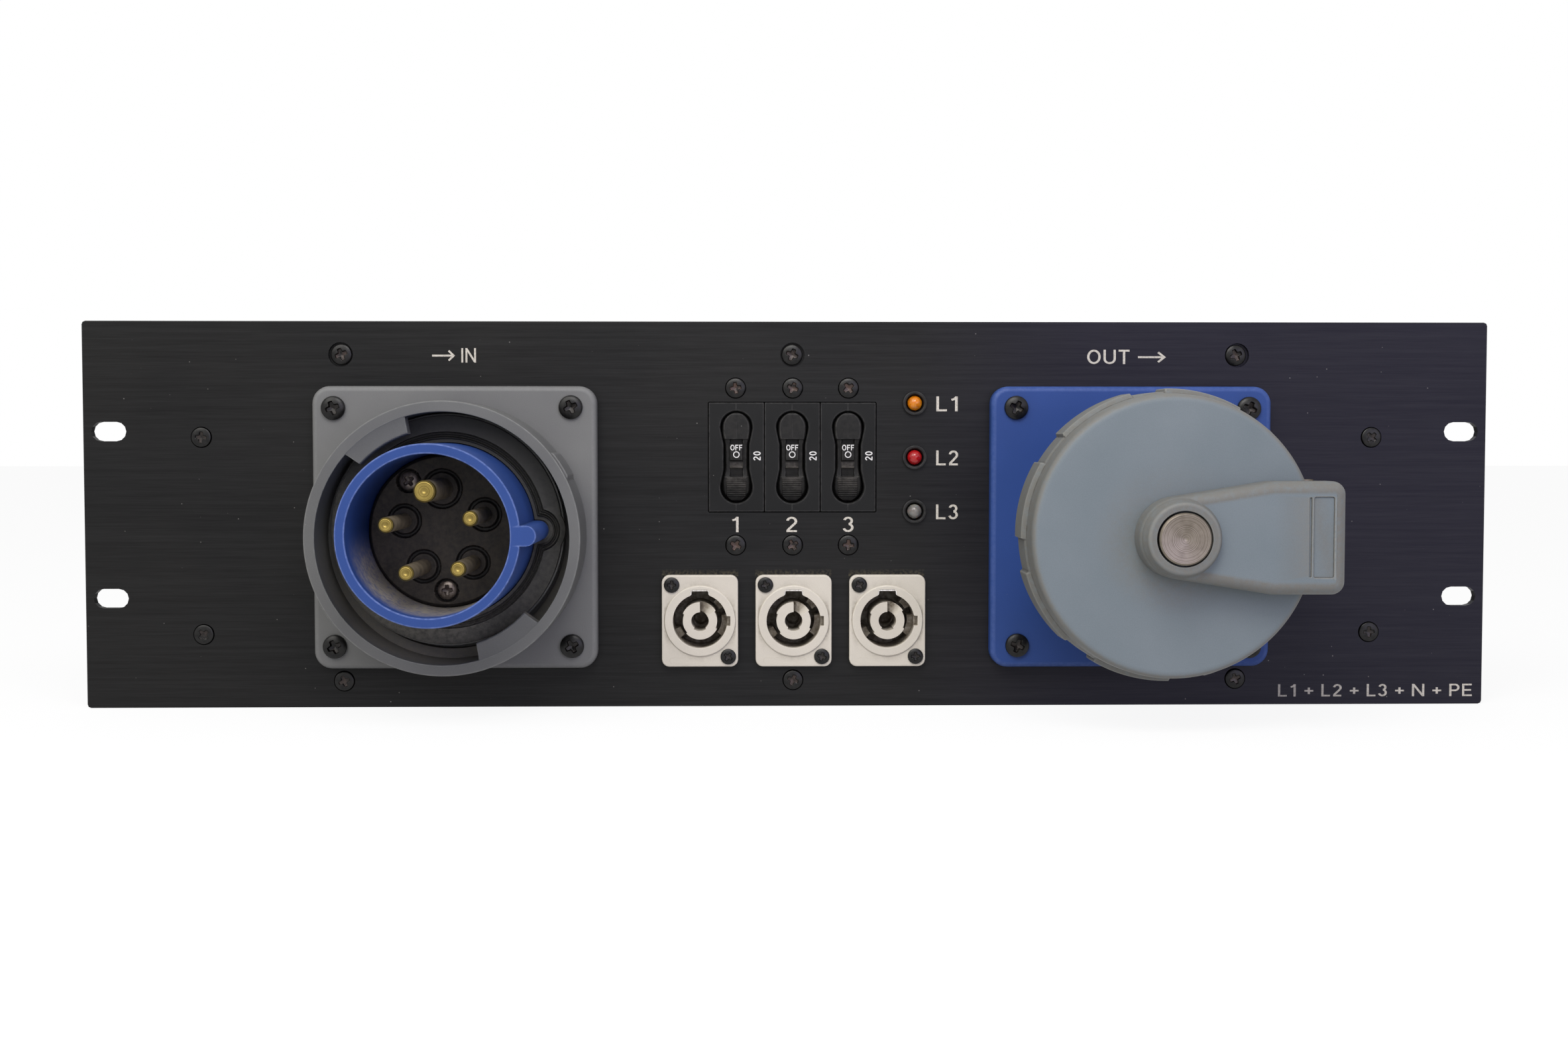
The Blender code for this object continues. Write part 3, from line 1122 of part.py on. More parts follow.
def make_branches(levels):
    """Taps from the line feeds to the breakers, and from the breakers to the sockets."""
    touch = WIRE_RADIUS + GAP
    tab_end = BREAKER_BODY_DEPTH + BREAKER_TAB_LENGTH + GAP
    line_tab = BREAKER_BODY_Z + BREAKER_TAB_RISE
    load_tab = BREAKER_BODY_Z - BREAKER_TAB_RISE
    socket_end = SOCKET_BACK_DEPTH + SOCKET_TAB_LENGTH + GAP
    for index in range(BREAKER_COUNT):
        x = breaker_x(index)
        level = levels[index + 2]
        lead = [(x, tab_end, line_tab), (x, TAP_DEPTH, line_tab)]
        if index:
            lead += [(x, TAP_DEPTH, level), (x, FEED_NEAR - touch, level)]
        else:
            lead += [(x, TAP_DEPTH, TAP_UNDERPASS), (x, FEED_FAR, TAP_UNDERPASS),
                     (x, FEED_FAR, level - touch)]
        wire("tap_wire_%d" % (index + 1), *lead)
        outlet = SOCKET_X[index]
        live = SOCKET_Z + SOCKET_TAB_RISE
        wire("load_wire_%d" % (index + 1), (x, tab_end, load_tab), (x, LOAD_DEPTH, load_tab),
             (outlet, LOAD_DEPTH, live), (outlet, socket_end, live))


def make_bars(levels):
    """The sockets' neutral and earth bars; the earth bar's foot stands on the chassis."""
    touch = WIRE_RADIUS + GAP
    near = SOCKET_BACK_DEPTH + SOCKET_TAB_LENGTH + GAP
    far = near + BAR_THICK
    floor = CHASSIS_RELIEF + SHEET + GAP
    left, right = SOCKET_X[0] - BAR_HEIGHT / 2.0, SOCKET_X[-1] + BAR_HEIGHT / 2.0
    half = BAR_HEIGHT / 2.0
    earth_z = SOCKET_Z - SOCKET_TAB_RISE
    box("neutral_bar", (left, -far, SOCKET_Z - half),
        (right + BAR_OVERHANG, -near, SOCKET_Z + half), BRASS, datum)
    earth = box("earth_bar", (left - BAR_OVERHANG, -far, earth_z - half),
                (right + BAR_FOOT_WIDTH, -near, earth_z + half), BRASS, datum)
    leg = box("add_bar_leg", (right, -far, floor),
              (right + BAR_FOOT_WIDTH, -near, earth_z), BRASS, datum)
    foot = box("add_bar_foot", (right, -far - BAR_FOOT, floor),
               (right + BAR_FOOT_WIDTH, -near, floor + BAR_THICK), BRASS, datum)
    shape(earth, "UNION", leg, foot)
    x = right + BAR_OVERHANG - half
    wire("neutral_wire", (x, far + GAP, SOCKET_Z), (x, RETURN_DEPTH, SOCKET_Z),
         (x, RETURN_DEPTH, levels[1]), (x, FEED_FAR + touch, levels[1]))
    x = left - BAR_OVERHANG + half
    wire("earth_wire", (x, far + GAP, earth_z), (x, FEED_MIDDLE, earth_z),
         (x, FEED_MIDDLE, levels[0] - touch))


feed_levels = make_feeds()
make_branches(feed_levels)
make_bars(feed_levels)
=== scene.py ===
"""Looks of a rack power distribution unit, three rack units high.

A black panel carries a pin inlet with its loose lock ring, a receptacle behind a hinged
bayonet cap, three rocker breakers, three lamps and three twist-lock outlets.
X runs right along the panel, Y into the rack and Z up.  Lengths are in millimetres until
place() turns them into the frame's metres.  Reach is a height in front of the panel.
"""

from functools import partial
from math import pi, radians

import bmesh
import bpy
import numpy as np
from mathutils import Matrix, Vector
from mathutils.geometry import delaunay_2d_cdt


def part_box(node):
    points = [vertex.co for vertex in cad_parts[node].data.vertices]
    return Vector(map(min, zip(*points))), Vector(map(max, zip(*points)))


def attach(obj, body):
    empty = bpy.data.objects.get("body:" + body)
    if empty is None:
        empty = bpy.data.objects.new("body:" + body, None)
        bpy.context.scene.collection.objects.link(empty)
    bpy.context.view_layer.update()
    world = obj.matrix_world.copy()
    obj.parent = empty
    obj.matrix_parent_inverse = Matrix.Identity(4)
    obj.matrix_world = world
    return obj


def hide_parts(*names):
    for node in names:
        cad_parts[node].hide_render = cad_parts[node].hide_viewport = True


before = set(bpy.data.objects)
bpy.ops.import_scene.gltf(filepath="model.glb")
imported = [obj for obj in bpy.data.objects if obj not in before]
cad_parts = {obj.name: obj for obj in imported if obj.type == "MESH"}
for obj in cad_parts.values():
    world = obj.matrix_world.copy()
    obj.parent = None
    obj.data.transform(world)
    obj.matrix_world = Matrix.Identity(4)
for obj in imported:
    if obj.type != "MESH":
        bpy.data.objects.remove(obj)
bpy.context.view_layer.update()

MM = 0.001
PANEL_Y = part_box("front_panel")[0].y


# Front panel: rolled aluminium plate, brushed along its length, then anodised and dyed
# black.  The grain shows through the film as fine level streaks, and pale dust sits in it.

def linear(code):
    """An sRGB hex colour as linear red, green and blue with an alpha of one."""
    parts = [int(code[k:k + 2], 16) / 255.0 for k in (1, 3, 5)]
    return [c / 12.92 if c <= 0.04045 else ((c + 0.055) / 1.055) ** 2.4 for c in parts] + [1.0]


def node(owner, kind, inputs=(), output=0, ramp=(), **settings):
    """Add a node, or take one that is there, and return one of its outputs.

    Settings are its properties.  Inputs give its sockets, by name or in their order, a
    value, a colour or a source.  A ramp gives the place and colour of its two stops.
    """
    made = owner.node_tree.nodes.new("ShaderNode" + kind) if isinstance(kind, str) else kind
    for key, value in settings.items():
        setattr(made, key, value)
    for key, value in (inputs if isinstance(inputs, dict) else dict(enumerate(inputs))).items():
        if isinstance(value, bpy.types.NodeSocket):
            owner.node_tree.links.new(value, made.inputs[key])
        else:
            made.inputs[key].default_value = linear(value) if isinstance(value, str) else value
    for k, (position, colour) in enumerate(ramp):
        made.color_ramp.elements[k].position = position
        made.color_ramp.elements[k].color = linear(colour)
    return made.outputs[output] if made.outputs else made


def finish(name):
    """A new material, what adds nodes to it, its shader and its coordinates in metres."""
    made = bpy.data.materials.new(name)
    made.use_nodes = True
    add = partial(node, made)
    return made, add, made.node_tree.nodes["Principled BSDF"], add("TexCoord", output="Object")


def per_metre(*sizes):
    """Scale of a pattern whose features have these sizes in millimetres."""
    scales = [1.0 / (size * MM) for size in sizes]
    return scales[0] if len(scales) == 1 else scales


def specked(add, spot, colour, size, share, dust="#8d8a86"):
    """Dust on a colour: a dot amid each of a share of the cells of a cell pattern."""
    cells = add("TexVoronoi", {"Vector": spot, "Scale": per_metre(size)}, "Color")
    chance = add("SeparateColor", (cells,), "Red")
    breadth = add("MapRange", (chance, 1.0 - share, 1.0, 0.0, 0.08))
    inside = add("Math", (breadth, cells.node.outputs["Distance"]), operation="SUBTRACT")
    return add("MixRGB", (add("MapRange", (inside, 0.0, 0.03, 0.0, 0.5)), colour, dust))


def dress(made, *names):
    """Give CAD nodes a material."""
    for name in names:
        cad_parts[name].data.materials.clear()
        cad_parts[name].data.materials.append(made)


ANODISED, add, shader, spot = finish("black_anodised_aluminium_brushed")
brushed = add("Mapping", {"Vector": spot, "Scale": per_metre(14.0, 3.0, 0.35)})
grain = add("TexNoise", {"Vector": brushed, "Scale": 1.0, "Detail": 4.0}, "Fac")
drawn = add("Mapping", {"Vector": spot, "Scale": per_metre(70.0, 9.0, 1.1)})
streaks = add("TexNoise", {"Vector": drawn, "Scale": 1.0, "Detail": 3.0}, "Fac")
cloud = add("TexNoise", {"Vector": spot, "Scale": per_metre(55.0), "Detail": 5.0}, "Fac")
lines = add("Math", (grain, streaks), operation="ADD")
mean = add("Math", (lines, 0.5), operation="MULTIPLY")
lined = add("ValToRGB", (mean,), ramp=((0.32, "#0f0f0f"), (0.68, "#272727")))
film = add("ValToRGB", (cloud,), ramp=((0.3, "#171718"), (0.7, "#201f1e")))
up = add("SeparateXYZ", (spot,), "Z")
right = up.node.outputs["X"]
# Painted light: towards the right the film turns violet, the tint that the cool fill lamp casts from
# that side.
painted_fill_tint = add("MapRange", (right, 40.0 * MM, 100.0 * MM))
film = add("MixRGB", (painted_fill_tint, film, "#211f2d"))
colour = add("MixRGB", (0.5, lined, film))
# Brownish dust has settled in a thin fringe on the panel above the outlets' top edges.
SOCKET_XS, SOCKET_Z, SOCKET_TOP = (-31.1, 1.1, 33.4), 29.8, 45.6
fringe = add("MapRange", (up, (SOCKET_TOP - 0.2) * MM, (SOCKET_TOP + 2.0) * MM, 1.0, 0.0))
offset = add("Math", (right, SOCKET_XS[1] * MM), operation="SUBTRACT")
beside = add("Math", (offset, 16.13 * MM, -16.13 * MM), operation="WRAP")
lint = add("TexNoise", {"Vector": spot, "Scale": per_metre(0.9), "Detail": 4.0}, "Fac")
masks = [add("Math", (up, (SOCKET_TOP - 0.6) * MM), operation="GREATER_THAN"),
         add("MapRange", (lint, 0.42, 0.65, 0.0, 0.8))]
for off, half in ((beside, 13.2), (offset, 46.0)):
    off = add("Math", (off,), operation="ABSOLUTE")
    masks.append(add("Math", (off, half * MM), operation="LESS_THAN"))
for mask in masks:
    fringe = add("Math", (fringe, mask), operation="MULTIPLY")
colour = add("MixRGB", (fringe, colour, "#565040"))
add(shader, {
    "Base Color": specked(add, spot, colour, 3.2, 0.4),
    "Roughness": add("MapRange", (cloud, 0.0, 1.0, 0.40, 0.56)),
    "Normal": add("Bump", {"Height": lines, "Distance": 0.015 * MM, "Strength": 0.6}),
    "Metallic": 0.55, "Specular IOR Level": 0.25})
dress(ANODISED, "front_panel")


# Chassis and cover: folded steel sheet in black stove enamel, with the slight orange peel
# of a sprayed coat.  The tray hooks behind the panel and the cover drops over it.

ENAMEL, add, shader, spot = finish("black_stove_enamel_on_steel")
peel = add("TexNoise", {"Vector": spot, "Scale": per_metre(1.4)}, "Fac")
scuff = add("TexNoise", {"Vector": spot, "Scale": per_metre(40.0), "Detail": 5.0}, "Fac")
coat = add("ValToRGB", (scuff,), ramp=((0.35, "#1b1b1c"), (0.7, "#242424")))
add(shader, {
    "Base Color": specked(add, spot, coat, 4.0, 0.5, "#7d7a76"),
    "Roughness": add("MapRange", (scuff, 0.0, 1.0, 0.38, 0.55)),
    "Normal": add("Bump", {"Height": peel, "Distance": 0.03 * MM, "Strength": 0.5}),
    "Specular IOR Level": 0.3})
dress(ENAMEL, "chassis", "cover")


# Inlet housing: grey glass-filled nylon, moulded in one with its neck and the collar that
# carries the lock ring.  Its square flange is screwed to the panel at four corners.

def place(x, reach, z):
    """A point in millimetres, with its reach before the panel, as metres in the frame."""
    x, reach, z = np.broadcast_arrays(x, reach, z)
    return np.stack([x * MM, PANEL_Y - reach * MM, z * MM], axis=-1)


def turns(steps, *fine):
    """Angles round a circle: even steps, and closer ones near some places.

    Each fine set is half its span, its step and then the middles of its spans, in degrees.
    """
    parts = [np.arange(steps) * 360.0 / steps]
    for half, step, *middles in fine:
        parts += [np.arange(m - half, m + half + 0.5 * step, step) % 360.0 for m in middles]
    return np.radians(np.unique(np.round(np.concatenate(parts), 4)))


def off_zero(values):
    """Values kept a hair above zero, to divide by."""
    return np.maximum(values, 1e-9)


def patch(points, wrap_rows=False, wrap_columns=False):
    """A grid of points with the quads that join each point to its neighbours."""
    rows, columns = points.shape[:2]
    i, j = np.meshgrid(np.arange(rows - (not wrap_rows)), np.arange(columns - (not wrap_columns)),
                       indexing="ij")
    up, right = (i + 1) % rows, (j + 1) % columns
    quads = np.stack([i * columns + j, i * columns + right, up * columns + right,
                      up * columns + j], axis=-1)
    return points.reshape(-1, 3), quads.reshape(-1, 4)


def lathe(at, angles, profile, closed=True, steps=3, upright=None):
    """A profile of (radius, reach, cut) carried round an axis, each value fixed or by angle.

    A corner with a cut becomes a short parabola that leaves one side that far before the
    corner and meets the next as far after it, with a row beside each end that keeps the
    sides flat.  With `upright` set to a reach, the axis runs along Z there, and the second
    value of the profile is the height.
    """
    corners = [np.stack([r + 0.0 * angles, h + 0.0 * angles], -1) for r, h, _ in profile]
    rings = []
    for k, (corner, (_, _, cut)) in enumerate(zip(corners, profile)):
        if not cut:
            rings.append(corner)
            continue
        sides = [other - corner for other in (corners[k - 1], corners[(k + 1) % len(corners)])]
        sizes = [np.linalg.norm(side, axis=-1, keepdims=True) for side in sides]
        back = np.minimum(cut, 0.42 * np.minimum(*sizes))
        start, end = [back * side / off_zero(size) for side, size in zip(sides, sizes)]
        rings.append(corner + 1.15 * start)
        rings += [corner + (1 - t) ** 2 * start + t ** 2 * end
                  for t in np.linspace(0.0, 1.0, steps + 1)]
        rings.append(corner + 1.15 * end)
    grid = np.stack(rings)
    across, over = grid[..., 0] * np.cos(angles), grid[..., 0] * np.sin(angles)
    if upright is None:
        return patch(place(at[0] + across, grid[..., 1], at[1] + over), closed, True)
    return patch(place(at[0] + across, upright + over, grid[..., 1]), closed, True)


def plate_reach(angles, half_width, half_height, corner):
    """Distance from a plate's middle to its outline: to its sides, or to its corners' arcs."""
    ux, uz = off_zero(np.abs(np.cos(angles))), off_zero(np.abs(np.sin(angles)))
    cx, cz = half_width - corner, half_height - corner
    along = ux * cx + uz * cz
    bent = along + np.sqrt(np.maximum(along ** 2 - cx ** 2 - cz ** 2 + corner ** 2, 0.0))
    side, top = half_width / ux, half_height / uz
    return np.where(side * uz <= cz, side, np.where(top * ux <= cx, top, bent))


def rolled(angles, half_width, half_height, corner, front, roll):
    """Rows of a plate's edge: up from its back, over a quarter round, onto its face."""
    rows = [(plate_reach(angles, half_width, half_height, corner), PLATE_BACK, 0)]
    bend = np.linspace(0.0, pi / 2.0, 7)
    for inset, level in zip(np.append(roll * (1.0 - np.cos(bend)), roll + 0.2),
                            np.append(front - roll * (1.0 - np.sin(bend)), front)):
        rows.append((plate_reach(angles, half_width - inset, half_height - inset,
                                 max(corner - inset, 0.2)), level, 0))
    return rows


def bends(mesh):
    """How sharply a surface bends at its vertices, per millimetre: above zero on outer edges.

    Each edge gives its ends its length times the angle between its faces, with a sign for
    outer or inner.  That is divided by four and by the area round the vertex, and then
    averaged once with the neighbours.
    """
    def read(items, name, kind, width=1):
        values = np.zeros(len(items) * width, kind)
        items.foreach_get(name, values)
        return values.reshape(-1, width) if width > 1 else values

    ends = read(mesh.edges, "vertices", np.int32, 2)
    spots = read(mesh.vertices, "co", np.float32, 3) / MM
    normals = read(mesh.polygons, "normal", np.float32, 3)
    centres = read(mesh.polygons, "center", np.float32, 3)
    areas = read(mesh.polygons, "area", np.float32) / MM ** 2
    sides = read(mesh.polygons, "loop_total", np.int32)
    edge_of = read(mesh.loops, "edge_index", np.int32)
    vertex_of = read(mesh.loops, "vertex_index", np.int32)
    owner = np.repeat(np.arange(len(sides)), sides)
    order = np.argsort(edge_of, kind="stable")
    twin = np.flatnonzero(edge_of[order][1:] == edge_of[order][:-1])
    one, other = owner[order[twin]], owner[order[twin + 1]]
    edges = edge_of[order[twin]]
    turn = np.arccos(np.clip((normals[one] * normals[other]).sum(-1), -1.0, 1.0))
    outer = -np.sign(((centres[other] - centres[one]) * normals[one]).sum(-1))
    length = np.linalg.norm(spots[ends[edges, 0]] - spots[ends[edges, 1]], axis=-1)
    total, room, near, count = np.zeros((4, len(spots)))
    np.add.at(total, ends[edges].ravel(), np.repeat(turn * outer * length, 2))
    np.add.at(room, vertex_of, (areas / sides)[owner])
    value = total / 4.0 / (room + 0.02)
    np.add.at(near, ends.ravel(), value[ends[:, ::-1]].ravel())
    np.add.at(count, ends.ravel(), 1.0)
    return 0.5 * value + 0.5 * near / np.maximum(count, 1.0)


def mesh_of(name, patches):
    """A mesh from patches, whose faces each count from their own patch's first point."""
    starts = np.cumsum([0] + [len(points) for points, _ in patches])
    faces = [face for (_, quads), start in zip(patches, starts)
             for face in (np.asarray(quads) + start).tolist()]
    mesh = bpy.data.meshes.new(name)
    mesh.from_pydata(np.concatenate([points for points, _ in patches]).tolist(), [], faces)
    return mesh


def mark(mesh, key, values):
    """Give a mesh's points a value each, under a name that its material reads."""
    mesh.attributes.new(key, "FLOAT", "POINT").data.foreach_set("value",
                                                                values.astype(np.float32))


def show(mesh, made):
    """Put a mesh into the scene under its own name, with its material."""
    mesh.materials.append(made)
    shown = bpy.data.objects.new(mesh.name, mesh)
    bpy.context.collection.objects.link(shown)
    return shown


def piece(name, body, patches, made, *nodes, smooth=32.0, marks=None, slot=None):
    """One mesh from patches: doubles merged, faces turned outwards, riding on its body.

    Its points carry how sharply the surface bends there, and any marks that are given.
    """
    mesh = mesh_of(name, patches)
    for key, values in (marks or {}).items():
        mark(mesh, key, np.concatenate([np.ravel(v) for v in values]))
    build = bmesh.new()
    build.from_mesh(mesh)
    bmesh.ops.remove_doubles(build, verts=build.verts, dist=2e-6)
    bmesh.ops.recalc_face_normals(build, faces=build.faces)
    build.to_mesh(mesh)
    build.free()
    mark(mesh, "bend", bends(mesh))
    mesh.shade_smooth()
    mesh.set_sharp_from_angle(angle=radians(smooth))
    shown = show(mesh, made)
    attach(shown, body)
    if nodes:
        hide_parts(*nodes)


def moulded(name, base, worn, crease_grime_and_shade, side_grey=None, dust="#6d6861", rough=(0.45, 0.6),
            specular=0.3, grit=0.35, specks=0.08):
    """Moulded plastic: drifts between two colours under fine grit.

    Outer edges are rubbed to the worn colour.  Inner corners and creases darken to the crease
    colour: dirt, and painted shade where shade gathers in them.  Sides that face away from
    the front, and points marked side_grey, turn to the side grey.  Dust lies where the piece's
    dust mark says; on the shroud, the seal, the cap and the outlets that mark also carries
    painted light or shade.
    """
    made, add, shader, spot = finish(name)
    drift = add("TexNoise", {"Vector": spot, "Scale": per_metre(26.0), "Detail": 5.0}, "Fac")
    broken = add("TexNoise", {"Vector": spot, "Scale": per_metre(1.7), "Detail": 6.0,
                              "Roughness": 0.65}, "Fac")
    fine = add("TexNoise", {"Vector": spot, "Scale": per_metre(grit), "Detail": 2.0}, "Fac")
    colour = add("ValToRGB", (drift,), ramp=((0.3, base[0]), (0.7, base[1])))
    if side_grey:
        facing = add("SeparateXYZ", (add("TexCoord", output="Normal"),), "Y")
        frontal = add("Math", (facing,), operation="ABSOLUTE")
        aside = add("MapRange", (frontal, 0.995, 0.80))
        marked = add("Attribute", output="Fac", attribute_name="side_grey")
        aside = add("Math", (aside, marked), operation="MAXIMUM")
        uneven = add("MapRange", (broken, 0.3, 0.55, 0.45))
        aside = add("Math", (aside, uneven), operation="MULTIPLY")
        colour = add("MixRGB", (aside, colour, side_grey))
    bend = add("Attribute", output="Fac", attribute_name="bend")
    patchy = add("MapRange", (broken, 0.35, 0.62, 0.25, 1.0))
    # Inner bends take the crease colour, dirt and painted shade; outer bends take the worn colour.
    for low, high, strength, tint in ((-0.04, -0.35, 0.7, crease_grime_and_shade), (0.12, 0.7, 0.5, worn)):
        there = add("MapRange", (bend, low, high, 0.0, strength))
        there = add("Math", (there, patchy), operation="MULTIPLY")
        colour = add("MixRGB", (there, colour, tint))
    marked = add("Attribute", output="Fac", attribute_name="dust")
    lying = add("Math", (marked, patchy), operation="MULTIPLY")
    colour = specked(add, spot, add("MixRGB", (lying, colour, dust)), 2.4, specks)
    speckle = add("MapRange", (fine, 0.0, 1.0, 0.9, 1.1))
    add(shader, {
        "Base Color": add("MixRGB", (1.0, colour, speckle), blend_type="MULTIPLY"),
        "Roughness": add("MapRange", (drift, 0.0, 1.0, *rough)),
        "Normal": add("Bump", {"Height": fine, "Distance": 0.02 * MM, "Strength": 0.5}),
        "Specular IOR Level": specular})
    return made


GREY_NYLON = moulded("grey_nylon_moulded", ("#646464", "#6c6c6b"), "#8b8b88", "#4a4845")
CONNECTOR_Z = 62.1
INLET, RECEPTACLE = (-114.3, CONNECTOR_Z), (116.8, CONNECTOR_Z)
PLATE_BACK, FLANGE_FRONT, FLANGE_HALF = 0.3, 5.3, 48.2
SPIGOT_RADIUS, SPIGOT_BACK, HOUSING_BORE = 33.2, -16.0, 29.15
NECK_RADIUS, COLLAR_RADIUS, COLLAR_BACK, COLLAR_FRONT = 35.5, 38.6, 17.0, 20.0
CORNERS = (5.0, 0.8, 45.0, 135.0, 225.0, 315.0)


def flange(angles):
    """Rows of a connector's square flange, from its back round its edge onto its face."""
    return rolled(angles, FLANGE_HALF, FLANGE_HALF, 6.0, FLANGE_FRONT, 1.8)


around = turns(180, CORNERS)
neck = [(37.2, FLANGE_FRONT, 0), (NECK_RADIUS, FLANGE_FRONT, 1.0), (NECK_RADIUS, COLLAR_BACK, 0),
        (COLLAR_RADIUS, COLLAR_BACK, 0.3), (COLLAR_RADIUS, COLLAR_FRONT, 0.4),
        (HOUSING_BORE, COLLAR_FRONT, 0), (HOUSING_BORE, SPIGOT_BACK, 0),
        (SPIGOT_RADIUS, SPIGOT_BACK, 0), (SPIGOT_RADIUS, PLATE_BACK, 0)]
piece("inlet_housing_moulding", "unit", [lathe(INLET, around, flange(around) + neck)],
      GREY_NYLON, "inlet_housing", slot="grey_nylon")


# Inlet shroud: blue nylon tube with a round-nosed key on its right, pressed through the
# housing.  Plugs have scraped its rim pale.  The lower half of its bore takes a pale dust
# colour: dust, and painted light on the wall that faces up to the light.

def polar(points, at):
    """Radius and angle about an axis along Y at (x, z), and reach, of placed points."""
    off_x, off_z = points[:, 0] / MM - at[0], points[:, 2] / MM - at[1]
    return np.hypot(off_x, off_z), np.arctan2(off_z, off_x), (PANEL_Y - points[:, 1]) / MM


def ease(t):
    """Zero below 0, one above 1 and an S-curve between them."""
    t = np.clip(t, 0.0, 1.0)
    return t * t * (3.0 - 2.0 * t)


SHROUD_RADIUS, SHROUD_BORE, SHROUD_REACH = 28.85, 25.6, 61.0
KEY_HALF, KEY_TIP = 3.25, 30.5
keyed = turns(180, (14.0, 0.5, 0.0))


def key_reach(offset):
    """Distance from the axis to the tube's wall, or to its key where that stands further out."""
    half, x, z = KEY_HALF + offset, np.cos(keyed), np.sin(keyed)
    nose = KEY_TIP * x + np.sqrt(np.maximum(half ** 2 - (KEY_TIP * z) ** 2, 0.0))
    nose = np.where(nose * x < KEY_TIP, half / off_zero(np.abs(z)), nose)
    found = (x > 0.0) & (np.abs(z) * KEY_TIP <= half)
    return np.maximum(SHROUD_RADIUS + offset, np.where(found, nose, 0.0))


# Its pale dust colour paints the shroud's lower bore: dust, and painted light.
BLUE_NYLON = moulded("blue_nylon_moulded", ("#203c77", "#25417f"), "#7485b8", "#1c2844",
                     dust="#968f85")
tube = [(SHROUD_BORE, reach, 0) for reach in (-22.0, 24.0, 40.0, 52.0, 58.5)]
tube += [(SHROUD_BORE, SHROUD_REACH, 0.45), (key_reach(0.0), SHROUD_REACH, 0.45),
         (key_reach(0.0), 23.6, 0), (SHROUD_RADIUS, 23.6, 0), (SHROUD_RADIUS, -22.0, 0)]
tube = lathe(INLET, keyed, tube)
radius, angle, reach = polar(tube[0], INLET)
# Pale dust colour in the lower half of the bore: dust, and painted light where light from above
# falls on it.
lying = 1.5 * (radius < 26.0) * ease((0.05 - np.sin(angle)) / 0.75) * ease((59.0 - reach) / 14.0)
piece("inlet_shroud_tube", "unit", [tube], BLUE_NYLON, "inlet_shroud", marks={"dust": [lying]},
      slot="blue_nylon")


# Inlet insert: black nylon disc deep in the shroud, with a moat round each of its five
# pins and two sunk screws that clamp it from the front.

def pitted(at, reach, radius, steps, bevel, pits):
    """A disc's face with a bevelled rim and round pits, and how deep it dips at each point.

    A pit is (x, z, depth, inner, outer, soft): it lies between two radii about its point,
    with S-curved sides, and is whole where the inner radius is below zero.
    """
    out = np.linspace(0.0, radius, steps)[:, None]
    across, over = out * np.cos(even), out * np.sin(even)
    dip = np.maximum(out - radius + bevel, 0.0) + 0.0 * even
    for x, z, depth, inner, outer, soft in pits:
        off = np.hypot(across - x, over - z)
        dip = dip + depth * ease((off - inner) / soft) * ease((outer - off) / soft)
    return patch(place(at[0] + across, reach - dip, at[1] + over), False, True), dip.ravel()


BLACK_NYLON = moulded("black_nylon_moulded", ("#222020", "#2a2827"), "#4a4642", "#171514",
                      dust="#564d44", specular=0.25)
PIN_CIRCLE = 13.9
PINS = [(name, 3.5 if name == "earth" else 2.5, PIN_CIRCLE * np.cos(a), PIN_CIRCLE * np.sin(a))
        for name, a in zip(("earth", "neutral", "line_1", "line_2", "line_3"),
                           np.radians(94.4 + 72.0 * np.arange(5)))]
INSERT_SCREWS = ((-12.1, 16.4), (0.2, -19.8))
INSERT_RADIUS, INSERT_REACH = 25.3, 25.0
even = turns(320)
pits = [(x, z, 1.4, radius + 1.6, radius + 3.3, 0.5) for _, radius, x, z in PINS]
pits += [(x, z, 2.2, -1.0, 4.0, 0.35) for x, z in INSERT_SCREWS]
face, dip = pitted(INLET, INSERT_REACH, INSERT_RADIUS, 130, 1.0, pits)
side = lathe(INLET, even, [(INSERT_RADIUS, INSERT_REACH - 1.0, 0), (INSERT_RADIUS, -20.0, 0),
                           (0.0, -20.0, 0)], False)
piece("inlet_insert_disc", "unit", [face, side], BLACK_NYLON, "inlet_insert", smooth=50.0,
      marks={"dust": [0.45 * (dip < 0.2), np.zeros(len(side[0]))]}, slot="black_nylon")


# Inlet pins: turned brass with a chamfered, centre-marked tip.  Their sides are tarnished
# brown, and the tips stay bright where the mating contacts rub them.

def turned_metal(name, bright, dull, ring, depth=0.015, rough=0.32):
    """Turned metal: rings of uneven depth about the piece's axis, whose distance is the mark."""
    made, add, shader, spot = finish(name)
    radius = add("Attribute", output="Fac", attribute_name="mark")
    cut = add("Math", (radius, 1.0 / ring), operation="MULTIPLY")
    rings = add("TexNoise", {"W": cut, "Scale": 1.0, "Detail": 3.0}, "Fac", noise_dimensions="1D")
    stain = add("TexNoise", {"Vector": spot, "Scale": per_metre(2.5), "Detail": 5.0}, "Fac")
    shade = add("MixRGB", (0.3, rings, stain))
    add(shader, {
        "Base Color": add("ValToRGB", (shade,), ramp=((0.38, dull), (0.6, bright))),
        "Roughness": add("MapRange", (stain, 0.0, 1.0, rough, rough + 0.15)),
        "Normal": add("Bump", {"Height": rings, "Distance": depth * MM, "Strength": 0.7}),
        "Metallic": 1.0})
    return made, add, shader, spot


def turned(name, body, at, angles, profile, made, replaced, slot):
    """A turned piece, whose mark is the distance from its axis."""
    shape = lathe(at, angles, profile, False)
    piece(name, body, [shape], made, replaced, marks={"mark": [polar(shape[0], at)[0]]}, slot=slot)


